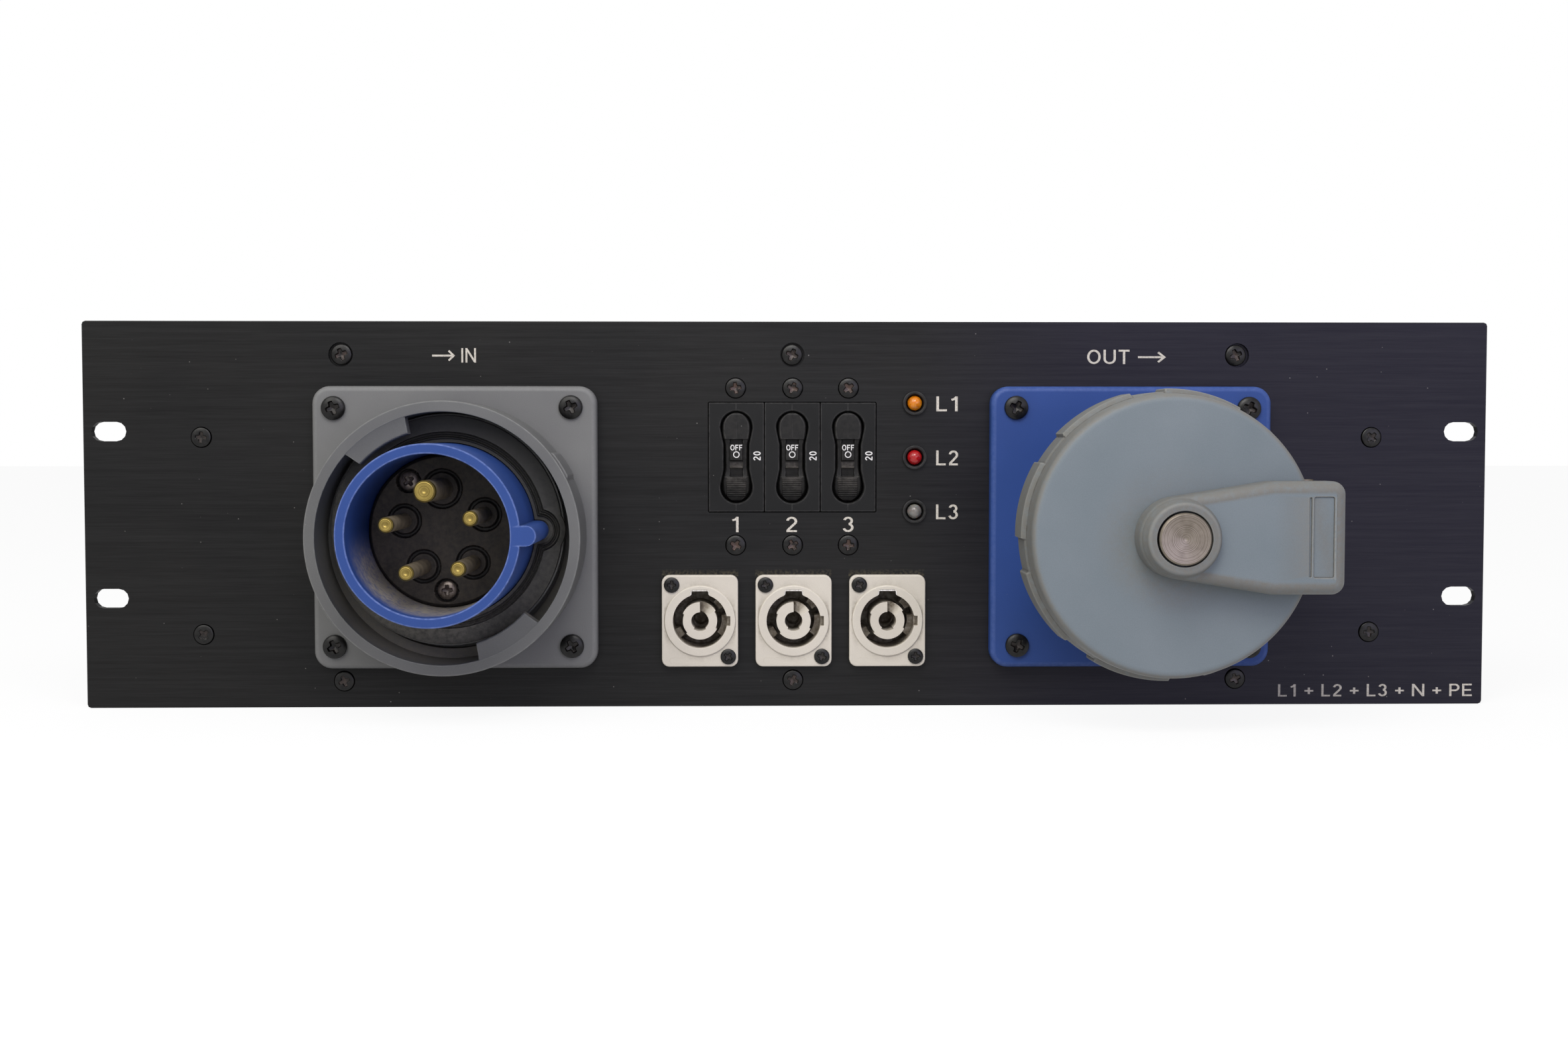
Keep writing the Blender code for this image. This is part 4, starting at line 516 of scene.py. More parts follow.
BRASS, add, shader, spot = turned_metal("brass_turned", "#a08c4e", "#6f5f33", 0.3)
behind = add("SeparateXYZ", (spot,), "Y")
tarnish = add("MapRange", (behind, PANEL_Y - 57.3 * MM, PANEL_Y - 56.3 * MM))
fresh = shader.inputs["Base Color"].links[0].from_socket
blotches = add("TexNoise", {"Vector": spot, "Scale": per_metre(4.0)}, "Fac")
brown = add("ValToRGB", (blotches,), ramp=((0.3, "#6a5f4e"), (0.7, "#9a8d75")))
add(shader, {"Base Color": add("MixRGB", (tarnish, fresh, brown)),
             "Metallic": add("MapRange", (tarnish, 0.0, 1.0, 1.0, 0.25))})
small = turns(48)
for name, radius, x, z in PINS:
    tip = 59.5 if name == "earth" else 58.0
    turned("inlet_pin_%s_turned" % name, "unit", (INLET[0] + x, CONNECTOR_Z + z), small,
           [(0.0, -32.3, 0), (4.3, -32.3, 0), (4.3, -20.3, 0), (radius, -20.3, 0),
            (radius, tip - 0.7, 0.15), (radius - 0.6, tip, 0.15), (radius - 1.2, tip, 0),
            (0.9, tip - 0.08, 0), (0.55, tip - 0.14, 0.1), (0.0, tip - 0.5, 0)],
           BRASS, "inlet_pin_" + name, "brass")


# Inlet seal: black rubber washer round the shroud, with two fine grooves that follow the key.
# Its rim swells round the key, and a small window in it shows the grey collar behind.

BLACK_RUBBER = moulded("black_rubber_moulded", ("#2c2c2b", "#353432"), "#454340", "#1c1b1b",
                       dust="#5f5c56", rough=(0.6, 0.75))
SEAL_BACK, SEAL_FRONT = 20.3, 22.0
washer = [(key_reach(0.3), SEAL_BACK, 0), (key_reach(0.3), SEAL_FRONT, 0)]
for groove in (2.1, 3.5):
    washer += [(key_reach(groove + off), level, cut) for off, level, cut in (
        (-0.8, SEAL_FRONT, 0), (-0.3, 22.8, 0.2), (-0.2, 21.0, 0), (0.2, 21.0, 0),
        (0.3, 22.8, 0.2))]
rim = np.maximum(38.0, key_reach(5.4))
washer = lathe(INLET, keyed, washer + [(rim, SEAL_FRONT, 0.3), (rim, SEAL_BACK, 0)])
radius, angle, _ = polar(washer[0], INLET)
# Dust lies thicker towards the lower left.  There the face within 36.9 mm of the axis is paler
# still: dust, and painted light where it lies out of the lock ring's shadow.
lying = 0.35 + 0.3 * np.cos(angle - radians(250.0)) + 0.8 * ease((36.9 - radius) / 0.8) \
    * ease((np.cos(angle - radians(232.0)) - 0.25) / 0.6)
piece("inlet_seal_washer", "unit", [washer], BLACK_RUBBER, "inlet_seal",
      marks={"dust": [lying]}, slot="black_rubber")


def flat(at, reach, *loops):
    """A level face inside a loop and round the holes in it, cut into triangles.

    A triangle stays if a line from its middle crosses the loops an odd number of times.
    """
    starts = np.cumsum([0] + [len(loop) for loop in loops])
    edges = np.concatenate([np.stack([np.arange(len(loop)), np.roll(np.arange(len(loop)), -1)],
                                     -1) + start for loop, start in zip(loops, starts)])
    every = np.concatenate(loops)
    corners, _, faces, *_ = delaunay_2d_cdt([Vector(p) for p in every], edges.tolist(), [], 1, 1e-6)
    corners, faces = np.array(corners), np.array(faces)
    middle = corners[faces].mean(1)[:, None]
    a, b = every[edges[:, 0]], every[edges[:, 1]]
    level = (a[:, 1] > middle[..., 1]) != (b[:, 1] > middle[..., 1])
    rise = np.where(a[:, 1] == b[:, 1], 1.0, b[:, 1] - a[:, 1])
    meets = middle[..., 0] < a[:, 0] + (b[:, 0] - a[:, 0]) * (middle[..., 1] - a[:, 1]) / rise
    kept = (level & meets).sum(1) % 2 == 1
    return place(at[0] + corners[:, 0], reach, at[1] + corners[:, 1]), faces[kept]


def arc(centre, radius, start, end, steps):
    """Points on an arc, or on part of an ellipse, both ends included; angles in degrees."""
    a = np.radians(np.linspace(start, end, steps + 1))
    wide, high = np.broadcast_to(radius, 2)
    return np.stack([centre[0] + wide * np.cos(a), centre[1] + high * np.sin(a)], -1)


def round_box(x, z, half_width, half_height, corner, steps=4):
    """Outline of a rectangle with round corners about a point."""
    return np.concatenate([
        arc((x + sx * (half_width - corner), z + sz * (half_height - corner)), corner,
            90.0 * q, 90.0 * q + 90.0, steps)
        for q, (sx, sz) in enumerate(((1, 1), (-1, 1), (-1, -1), (1, -1)))])


# The window's box is bent round the axis, 15 degrees below the key.
SIGHT_RADIUS = 35.6
sight = round_box(-radians(15.0) * SIGHT_RADIUS, SIGHT_RADIUS, 2.7, 2.0, 0.5)
sight = sight[:, 1:] * np.stack([np.cos(sight[:, 0] / 35.8), np.sin(sight[:, 0] / 35.8)], -1)
# The collar behind the window is dressed in a bluer copy of the grey nylon: painted shade of the
# collar deep behind the seal.
COLLAR_GREY = moulded("grey_nylon_moulded_shaded", ("#64646d", "#6e6e76"), "#84848a", "#44444a")
piece("inlet_collar_in_seal_window", "unit", [flat(INLET, SEAL_FRONT + 0.03, sight)], COLLAR_GREY)


# Lock ring: loose grey nylon bayonet ring that hangs on the inlet's neck.  Two lugs point
# inwards just behind its front, and two pads on its outside give a grip.

def window(angles, span, soft, *middles):
    """One inside arcs of angles and zero outside, with S-curves at their ends, in degrees."""
    offs = [np.degrees(np.abs((angles - radians(m) + pi) % (2.0 * pi) - pi)) for m in middles]
    return sum(ease((span / 2.0 - off) / soft + 0.5) for off in offs)


RING_NYLON = moulded("grey_nylon_moulded_ring", ("#5a5a5a", "#626261"), "#7c7c79", "#3f3d3a")
RING = (INLET[0], CONNECTOR_Z - 2.3)
RING_RADIUS, RING_BORE, NECK_BORE = 45.0, 41.4, 38.1
RING_BACK, RING_FRONT, LUG_BACK = 8.0, 33.0, 27.2
ringed = turns(240, (1.6, 0.2, 107.0, 138.0, 287.0, 318.0), (1.5, 0.5, 26.0, 38.0, 206.0, 218.0))
lugs = window(ringed, 31.0, 1.3, 122.5, 302.5)
lug = RING_BORE - 5.6 * lugs
pad = RING_RADIUS + 0.7 * window(ringed, 12.0, 2.0, 32.0, 212.0)
ring = lathe(RING, ringed, [
    (NECK_BORE, RING_BACK, 0.3), (RING_RADIUS, RING_BACK, 0.8), (pad, 10.0, 0.3),
    (pad, 31.2, 0.3), (RING_RADIUS, 31.5, 0), (RING_RADIUS, RING_FRONT, 0.7),
    (44.0, RING_FRONT, 0), (41.6, RING_FRONT, 0.12), (41.3 + 0.1 * (1.0 - lugs), 32.85, 0),
    (lug, 32.6 + 0.2 * (1.0 - lugs), 0.9), (lug, LUG_BACK, 0.3), (RING_BORE, LUG_BACK, 0),
    (RING_BORE, 12.0, 0), (NECK_BORE, 12.0, 0.3)])
radius, angle, reach = polar(ring[0], RING)
lying = 0.95 * (radius < 41.6) * (reach < 32.0) * ease((0.3 - np.sin(angle)) / 0.9)
piece("inlet_lock_ring_moulding", "lock_ring", [ring], RING_NYLON, "inlet_lock_ring",
      marks={"dust": [lying]}, slot="grey_nylon")


# Screws: black-plated steel pan heads with a cross recess, some with rust in the recess.
# They hold the flanges, the panel, the breakers and the outlets, each left as it came.

def screw(x, z, reach, radius, height, turn, seat=0.0):
    """A pan head: a dome over a short wall, less a cross whose arms taper outwards.

    A flush screw also has a thin seat round it, which its material paints near black: painted
    shadow in the countersink gap.  Returns the patch and, for each point, how far it lies
    inside the cross, or minus one on the seat.
    """
    angles = np.radians(5.0 * np.arange(72))
    rise = np.linspace(pi / 2.0, 0.0, 30)
    out = np.append([0.0, radius + seat, radius + 0.02], radius * np.sin(rise))[:, None]
    level = height * np.append([0.0, 0.0, 0.0], 0.35 + 0.65 * np.cos(rise))[:, None]
    px, pz = out * np.cos(angles - turn), out * np.sin(angles - turn)
    arm, width = 0.56 * radius, 0.20 * radius
    inside = np.zeros_like(px)
    for along, aside in ((px, pz), (pz, px)):
        narrow = width * (1.2 - 0.45 * np.abs(along) / arm)
        inside = np.maximum(inside, ease((narrow - np.abs(aside)) / (0.05 * radius) + 0.5)
                            * ease((arm - np.abs(along)) / (0.07 * radius) + 0.5))
    # The seat round a flush head is marked minus one, for the painted shadow of the countersink gap.
    inside[:3] = -1.0 if seat else 0.0
    sunk = 0.75 * height * np.maximum(inside, 0.0) * (1.25 - 0.6 * out / arm)
    return patch(place(x + out * np.cos(angles), reach + level - sunk, z + out * np.sin(angles)),
                 False, True), inside


def plated(name, plain, rust):
    """Plated steel: the mark is how rusty the cross's inside is; below zero, a painted shadow."""
    made, add, shader, spot = finish(name)
    inside = add("Attribute", output="Fac", attribute_name="mark")
    patchy = add("TexNoise", {"Vector": spot, "Scale": per_metre(1.5), "Detail": 5.0}, "Fac")
    spread = add("MapRange", (patchy, 0.36, 0.56))
    rusty = add("Math", (inside, spread), operation="MULTIPLY", use_clamp=True)
    # A mark below zero, on a flush screw's seat, turns the steel near black: painted shadow.
    shade = add("MapRange", (inside, -0.2, -0.7))
    clean = add("ValToRGB", (patchy,), ramp=((0.3, plain[0]), (0.7, plain[1])))
    clean = add("MixRGB", (shade, clean, "#0a0a0a"))
    add(shader, {
        "Base Color": add("MixRGB", (rusty, clean, rust)),
        "Roughness": add("MapRange", (patchy, 0.0, 1.0, 0.25, 0.45)),
        "Metallic": add("Math", (0.6, rusty), operation="SUBTRACT", use_clamp=True)})
    return made


BLACK_STEEL = plated("steel_black_plated", ("#121212", "#222120"), "#3a2214")
NICKEL_STEEL = plated("steel_nickel_plated", ("#5d534c", "#968b83"), "#332420")
HAIR = 0.02


def screws(name, spots, reach, radius, height, rust=0.5, seat=0.0, made=BLACK_STEEL):
    """Screws at (x, z) spots in one mesh, each turned by its own share of a golden angle."""
    heads = [screw(x, z, reach, radius, height, 2.4 * k + 0.35 + 0.01 * x, seat)
             for k, (x, z) in enumerate(spots)]
    piece(name, "unit", [head for head, _ in heads], made, smooth=50.0,
          marks={"mark": [np.where(inside > 0.0, rust * inside, inside) for _, inside in heads]})


screws("panel_screws_top", [(-153.5, 121.2), (0.6, 121.2), (153.9, 121.2)], -1.25, 3.6, 1.3)
screws("panel_screws_bottom", [(-153.4, 9.1), (0.9, 9.1), (154.6, 9.1)], HAIR, 3.3, 0.8, seat=0.3)
for which, x, rust in (("left", -201.2, 0.25), ("right", 201.2, 0.2)):
    screws("panel_screws_" + which, [(x, 92.9), (x, 25.3)], HAIR, 3.3, 0.8, rust, 0.3)
for which, rust, spots in (
        ("inlet", 0.12, [(-155.1, 102.8), (-74.8, 103.1), (-155.3, 21.6), (-74.7, 21.6)]),
        ("receptacle", 0.2, [(77.1, 103.0), (157.1, 102.7), (77.8, 21.5), (158.0, 21.0)])):
    screws(which + "_flange_screws", spots, FLANGE_FRONT + HAIR, 4.05, 2.0, rust)
screws("inlet_insert_screws", [(INLET[0] + x, CONNECTOR_Z + z) for x, z in INSERT_SCREWS],
       INSERT_REACH - 2.15, 3.2, 1.8, 0.9, made=NICKEL_STEEL)
screws("breaker_screws", [(x, z) for z in (109.8, 55.8) for x in (-18.8, 0.8, 20.0)],
       HAIR, 3.35, 1.0, 0.9, 0.25)


# Cover screws: the same black-plated steel pan heads.  Three on each side go through the
# cover's lip into the tray and hold the cover down.

COVER_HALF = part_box("cover")[1].x
LIP_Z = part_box("cover")[1].z - 7.0 * MM
for side, which in ((-1.0, "left"), (1.0, "right")):
    heads, insides = [], []
    for k, depth in enumerate((30.0, 101.0, 172.0)):
        (points, quads), inside = screw(0.0, 0.0, HAIR, 3.3, 1.3, 0.9 * k + side)
        heads.append((np.stack([side * (COVER_HALF + PANEL_Y - points[:, 1]), PANEL_Y
                                + depth * MM + points[:, 0], LIP_Z + points[:, 2]], -1), quads))
        insides.append(0.3 * inside)
    piece("cover_screws_" + which, "unit", heads, BLACK_STEEL, smooth=50.0,
          marks={"mark": insides})


# Receptacle housing: blue nylon flange and barrel in one, with two bayonet ramps and a
# keyway in the barrel, and two ears that carry the lid's hinge pin.

BARREL_RADIUS, BARREL_BORE, BARREL_FRONT = 35.6, 30.2, 58.0
RAMP_BACK, RAMP_FRONT, FOOT_FRONT = 50.0, 53.0, 8.7
barrelled = turns(180, CORNERS, (1.0, 0.25, 22.0, 55.0, 202.0, 235.0), (8.0, 0.5, 180.0))
ramp = BARREL_RADIUS + 3.7 * window(barrelled, 33.0, 0.9, 38.5, 218.5)
keyway = np.minimum(34.05, 3.55 / off_zero(np.abs(np.sin(barrelled))))
keyway = np.where(np.cos(barrelled) < 0.0, np.maximum(BARREL_BORE, keyway), BARREL_BORE)
barrel = [(37.5, FLANGE_FRONT, 0), (BARREL_RADIUS, FLANGE_FRONT, 1.2),
          (BARREL_RADIUS, RAMP_BACK, 0), (ramp, RAMP_BACK, 0.4), (ramp, RAMP_FRONT, 0.4),
          (BARREL_RADIUS, RAMP_FRONT, 0), (BARREL_RADIUS, BARREL_FRONT, 0.5),
          (keyway, BARREL_FRONT, 0.4), (keyway, FOOT_FRONT, 0), (BARREL_BORE, FOOT_FRONT, 0),
          (BARREL_BORE, SPIGOT_BACK, 0), (SPIGOT_RADIUS, SPIGOT_BACK, 0),
          (SPIGOT_RADIUS, PLATE_BACK, 0)]
piece("receptacle_housing_moulding", "unit",
      [lathe(RECEPTACLE, barrelled, flange(barrelled) + barrel)], BLUE_NYLON,
      "receptacle_housing", slot="blue_nylon")


def extrusion(outline, low, high, roll, axis="Z", steps=4):
    """An outline carried from a low to a high level, with both rims rolled over and closed.

    At each rim the outline shrinks towards its middle by the roll, round a quarter circle.
    """
    outline = np.asarray(outline, float)
    middle = outline.mean(0)
    away = outline - middle
    size = np.linalg.norm(away, axis=1, keepdims=True)
    bend = np.linspace(0.0, pi / 2.0, steps + 1)
    insets, drops = roll * (1.0 - np.sin(bend)), roll * (1.0 - np.cos(bend))
    shares = [0.0 * size, *[1.0 - inset / size for inset in (*insets, *insets[::-1])], 0.0 * size]
    grid = np.stack([middle + away * share for share in shares])
    level = np.concatenate([[low], low + drops, high - drops[::-1], [high]])[:, None]
    a, b = grid[..., 0], grid[..., 1]
    return patch(place(a, b, level) if axis == "Z" else place(a, level, b), False, True)


HINGE, HINGE_RADIUS = (RECEPTACLE[0] + 54.0, 22.0), 5.0
ear = np.concatenate([[(RECEPTACLE[0] + 39.2, 4.9), (RECEPTACLE[0] + 47.2, 4.9)],
                      arc(HINGE, HINGE_RADIUS, -40.0, 150.0, 24)])
ears = [extrusion(ear, CONNECTOR_Z + low, CONNECTOR_Z + low + 7.0, 0.5) for low in (8.3, -15.3)]
piece("receptacle_hinge_ears", "unit", ears, BLUE_NYLON, slot="blue_nylon")


# Receptacle insert: black nylon foot and sleeve inside the barrel.  Five brass sleeves sit
# behind its mouths; none of this shows until the lid swings open.

SLEEVE_RADIUS = 24.9
pits = [(-x, z, 3.0, -1.0, radius + 0.55, 0.35) for _, radius, x, z in PINS]
face, _ = pitted(RECEPTACLE, 55.0, SLEEVE_RADIUS, 84, 0.6, pits)
side = lathe(RECEPTACLE, even, [(SLEEVE_RADIUS, 54.4, 0), (SLEEVE_RADIUS, 9.0, 0),
                                (0.0, 9.0, 0)], False)
piece("receptacle_insert_sleeve", "unit", [face, side], BLACK_NYLON, "receptacle_insert",
      slot="black_nylon", smooth=50.0)
base = lathe(RECEPTACLE, even, [(0.0, SPIGOT_BACK, 0), (29.9, SPIGOT_BACK, 0),
                                (29.9, FOOT_FRONT, 0.5), (0.0, FOOT_FRONT, 0)], False)
piece("receptacle_insert_base", "unit", [base], BLACK_NYLON, "receptacle_insert_foot",
      slot="black_nylon")
for name, radius, x, z in PINS:
    turned("receptacle_contact_%s_turned" % name, "unit", (RECEPTACLE[0] - x, CONNECTOR_Z + z),
           small, [(0.0, -28.3, 0), (5.1, -28.3, 0), (5.1, -16.3, 0), (radius + 1.05, -16.3, 0),
                   (radius + 1.05, 52.0, 0.2), (radius + 0.25, 52.3, 0.2),
                   (radius + 0.25, 30.0, 0), (0.0, 30.0, 0)],
           BRASS, "receptacle_contact_" + name, "brass")


# Lid cap: pale grey nylon bayonet cap with a soft shoulder, a grip band with eight hollows
# and two inner lugs.  Its front is a bluish grey; its sides and edges, which face away from
# the front, are a warm grey.  A flat rubber gasket sits under its crown.

CAP_NYLON = moulded("pale_grey_nylon_moulded", ("#666f74", "#6d757a"), "#8c8c87", "#454340",
                    side_grey="#686763", rough=(0.5, 0.62), specular=0.25)
HOLLOWS = 8.2 + 45.0 * np.arange(8)
CAP_FRONT, CAP_CEILING, CAP_BACK = 70.0, 66.5, 46.0
CAP_RADIUS, CAP_BORE, RIVET_HOLE = 46.0, 42.0, 4.3
capped = turns(240, (1.2, 0.3, *(HOLLOWS - 6.75), *(HOLLOWS + 6.75)),
               (1.0, 0.25, 76.0, 104.0, 256.0, 284.0))
hollow = window(capped, 13.5, 0.9, *HOLLOWS)
cap_lug = CAP_BORE - 5.0 * window(capped, 28.0, 0.9, 90.0, 270.0)
cap_rows = [(RIVET_HOLE, CAP_CEILING, 0)]
cap_rows += [(radius, CAP_FRONT, 0) for radius in (RIVET_HOLE, 12.0, 16.0, 20.0, 25.0, 38.8)]
cap_rows += [(44.0, CAP_FRONT, 5.0), (44.4, 62.5, 0), (44.4, 60.6, 0.4),
             (45.0 - 0.4 * hollow, 60.0, 0.25), (CAP_RADIUS - hollow, 59.2, 0.4),
             (CAP_RADIUS - hollow, 47.2, 0), (CAP_RADIUS - hollow, CAP_BACK, 0.5),
             (CAP_BORE, CAP_BACK, 0.4), (CAP_BORE, 46.6, 0), (cap_lug, 46.6, 0.4),
             (cap_lug, 49.6, 0.4), (CAP_BORE, 49.6, 0), (CAP_BORE, CAP_CEILING, 2.0)]
cap = lathe(RECEPTACLE, capped, cap_rows, steps=5)
radius, angle, reach = polar(cap[0], RECEPTACLE)
# Near the rivet, on the lower left where the arm's nose stands, the front takes the brownish dust
# colour: dirt, and painted shade round the nose.
lying = (0.3 - 0.15 * np.cos(angle - radians(60.0))) * ease((27.0 - radius) / 12.0) \
    * (reach > CAP_FRONT - 1.0)
piece("lid_cap_moulding", "cap", [cap], CAP_NYLON, "lid_cap", slot="grey_nylon",
      marks={"dust": [lying]})
coarse = turns(96)
gasket = lathe(RECEPTACLE, coarse,
               [(27.0, 58.4, 0.4), (38.0, 58.4, 0.4), (38.0, 66.2, 0), (27.0, 66.2, 0)])
piece("lid_gasket_washer", "cap", [gasket], BLACK_RUBBER, "lid_gasket", slot="black_rubber")


# Lid arm: the same grey nylon, moulded hollow, from a nose round the rivet to the hinge.
# A raised collar stands round the rivet, and a groove and a blank window cross its end.

ARM_BACK, ARM_FRONT, ARM_ROLL = 70.3, 79.9, 3.2


def arm_loop(inset):
    """The arm's outline: an arc round the rivet, straight flares, then a round-cornered end."""
    nose, half, end = 12.6 - inset, 17.3 - inset, 50.3 - min(inset, ARM_ROLL + 0.2)
    corner = max(4.0 - inset, 0.6)
    rise = np.degrees(np.arcsin((half - nose) / np.hypot(28.0, half)))
    back = arc((0.0, 0.0), nose, 90.0 + rise, 270.0 - rise, 60)
    low = arc((end - corner, corner - half), corner, -90.0, 0.0, 12)
    high = arc((end - corner, half - corner), corner, 0.0, 90.0, 12)
    return np.concatenate([back, [(28.0, -half)], low, high, [(28.0, half)]])


def wall(at, loops):
    """Bands between loops of (points, reach), joined point by point."""
    return patch(np.stack([place(at[0] + loop[:, 0], reach, at[1] + loop[:, 1])
                           for loop, reach in loops]), False, True)


arm_edge = [(arm_loop(0.0), ARM_BACK)]
arm_edge += [(arm_loop(ARM_ROLL * (1 - np.cos(a))), ARM_FRONT - ARM_ROLL * (1 - np.sin(a)))
             for a in np.linspace(0.0, pi / 2.0, 10)]
arm_edge += [(arm_loop(inset), ARM_FRONT) for inset in (3.4, 3.75, 4.1)]
eye = arc((0.0, 0.0), 8.0, 0.0, 360.0, 96)[:-1]
sinks = [(43.15, 0.3, 3.1, 12.3, 0.6), (39.0, 0.3, 0.35, 12.1, 0.3)]
SINK_STEPS = ((0.3, 0.0), (0.15, 0.0), (0.05, 0.08), (0.0, 0.25), (0.0, 0.5), (-0.1, 0.5),
              (-0.22, 0.5))
mouths = []
arm_patches = [wall(RECEPTACLE, arm_edge), flat(RECEPTACLE, ARM_BACK, arm_loop(0.0))]
for x, z, *sizes in sinks:
    loops = [(round_box(x, z, *[size + grow for size in sizes]), ARM_FRONT - down)
             for grow, down in SINK_STEPS]
    mouths.append(loops[0][0])
    arm_patches += [wall(RECEPTACLE, loops), flat(RECEPTACLE, loops[-1][1], loops[-1][0])]
arm_patches.insert(2, flat(RECEPTACLE, ARM_FRONT, arm_edge[-1][0], eye, *mouths))
arm_patches.append(lathe(RECEPTACLE, coarse, [
    (8.5, 78.0, 0), (8.5, 83.3, 0.3), (10.9, 83.3, 0.9), (11.6, 80.9, 0.6), (12.2, 79.4, 0),
    (12.0, 77.5, 0)], steps=4))
# The edges, the sinks' walls and the collar take the side grey; the flat front and floors don't.
border = [np.full(len(points), share) for (points, _), share
          in zip(arm_patches[1:], (0.0, 0.0, 0.6, 0.0, 0.6, 0.0, 1.0))]
border.insert(0, np.repeat([1.0] * (len(arm_edge) - 3) + [0.75, 0.35, 0.0], len(arm_loop(0.0))))
piece("lid_arm_moulding", "lid", arm_patches, CAP_NYLON, "lid_arm", slot="grey_nylon",
      marks={"side_grey": border})
leg = round_box(RECEPTACLE[0] + 48.65, CONNECTOR_Z, 1.65, 15.7, 0.8)
foot = round_box(RECEPTACLE[0] + 48.6, CONNECTOR_Z, 1.5, 8.0, 0.6)
knuckle = arc(HINGE, HINGE_RADIUS, 0.0, 360.0, 40)[:-1]
piece("lid_arm_leg", "lid",
      [extrusion(leg, 34.0, 74.0, 0.5, "Y"), extrusion(foot, 21.0, 35.0, 0.3, "Y"),
       extrusion(knuckle, CONNECTOR_Z - 8.0, CONNECTOR_Z + 8.0, 0.4)],
      CAP_NYLON, slot="grey_nylon")


# Rivet and hinge pin: turned stainless steel.  The rivet's flat head keeps the rings of the
# facing cut, with a bright chamfer round it; both are set over at assembly.

STEEL = turned_metal("stainless_steel_turned", "#8a8176", "#655d53", 0.25, 0.025, 0.3)[0]
turned("lid_rivet_turned", "lid", RECEPTACLE, coarse,
       [(0.0, 63.7, 0), (7.5, 63.7, 0.4), (7.5, 66.2, 0), (4.0, 66.2, 0), (4.0, 80.2, 0),
        (8.0, 80.2, 0), (8.0, 83.7, 0.1), (7.45, 84.3, 0.1), (7.2, 84.25, 0),
        (0.8, 84.25, 0), (0.4, 84.15, 0), (0.0, 84.05, 0)], STEEL, "lid_rivet", "turned_steel")
pin_half = [(0.0, -16.8, 0), (3.6, -16.8, 0.4), (3.6, -15.6, 0), (2.0, -15.6, 0)]
pin_rows = [(radius, CONNECTOR_Z + rise, cut) for radius, rise, cut in pin_half]
pin_rows += [(radius, CONNECTOR_Z - rise, cut) for radius, rise, cut in pin_half[::-1]]
hinge_pin = lathe((HINGE[0], 0.0), small, pin_rows, False, upright=HINGE[1])
from_axis = hinge_pin[0] - place(HINGE[0], HINGE[1], 0.0)
piece("lid_hinge_pin_turned", "unit", [hinge_pin], STEEL, "lid_hinge_pin",
      marks={"mark": [np.hypot(from_axis[:, 0], from_axis[:, 1]) / MM]}, slot="turned_steel")


# Circuit breakers: black nylon bodies clipped behind the panel, each with a flush rocker in
# a waisted recess.  The rocker is off: its plain end is level and its ribbed end is in.

BREAKER_NYLON = moulded("black_nylon_moulded_breaker", ("#131313", "#1a1a1a"), "#4a4948",
                        "#101010", rough=(0.4, 0.52), specular=0.15, grit=0.25, specks=0.4,
                        dust="#5a5652")
BREAKER_Z = 86.05
BREAKER_XS = (-18.55, 0.7, 19.95)
BODY_HALF, BODY_RISE = 9.475, 18.75
LOBE_RISE, ROCKER_RISE = 10.35, 15.35


def waisted(grow):
    """Outline of the recess: two round lobes, joined by sides that lean in to a waist."""
    radius, waist, lean = 5.5 + grow, 4.35 + grow, radians(12.0)
    run = (radius * np.cos(lean) - waist) / np.sin(lean)
    bend = LOBE_RISE - radius * np.sin(lean) - run * np.cos(lean)
    upper = arc((0.0, LOBE_RISE), radius, -12.0, 192.0, 20)
    lower = arc((0.0, -LOBE_RISE), radius, 168.0, 372.0, 20)
    return np.concatenate([upper, [(-waist, bend), (-waist, -bend)], lower,
                           [(waist, -bend), (waist, bend)]])


def rocker_half(z):
    """Half the rocker's width at a height: two round lobes joined by a drawn-in waist."""
    z = np.abs(z)
    lobe = 4.7 * np.sqrt(np.maximum(1.0 - (np.maximum(z - LOBE_RISE, 0.0) / 5.0) ** 2, 0.0))
    return np.where(z > 9.29, lobe, 3.8 + 0.9 * ease((z - 3.1) / 6.19))


def rocker_level(x, z):
    """Reach of the rocker's front, on two halves that tilt about its middle.

    Below the level pad come a dark slot, the label's plate between two scooped shoulders,
    a second slot, and then the ribs on their pad.
    """
    base = np.where(z > 0.0, -0.5, -0.5 + z * np.tan(radians(14.0)))
    plate = ease((2.3 - np.abs(x)) / 0.25)
    between = ease((6.3 - z) / 0.25) * ease((z + 6.9) / 0.5)
    scoop = between * (1.0 - plate) * (0.35 + 1.5 * (1.0 - ((z + 0.3) / 6.6) ** 2))
    slots = ease((z - 4.5) / 0.2) * ease((6.2 - z) / 0.2)
    slots = slots + ease((-1.0 - z) / 0.2) * ease((z + 3.6) / 0.6)
    hollow = ease((-3.6 - z) / 0.3) * ease((z + 6.9) / 0.3)
    level = base - scoop - plate * (0.35 * between + 1.6 * slots) - 1.3 * plate * hollow
    ribbed = ease((-7.0 - z) / 0.15) * ease((z + 13.4) / 0.15)
    ribbed = ribbed * ease((3.4 - np.abs(x)) / 0.2)
    ribs = 0.5 + 0.5 * np.cos(2.0 * pi * (z + 7.0) / 0.63)
    pad = ease((15.0 - np.abs(z)) / 0.2) * ease((0.06 - np.abs(x)) / 0.05)
    seam = 0.06 * pad * ease((z - 6.6) / 0.2)
    return level + ribbed * (0.3 * ribs + 0.15) + seam


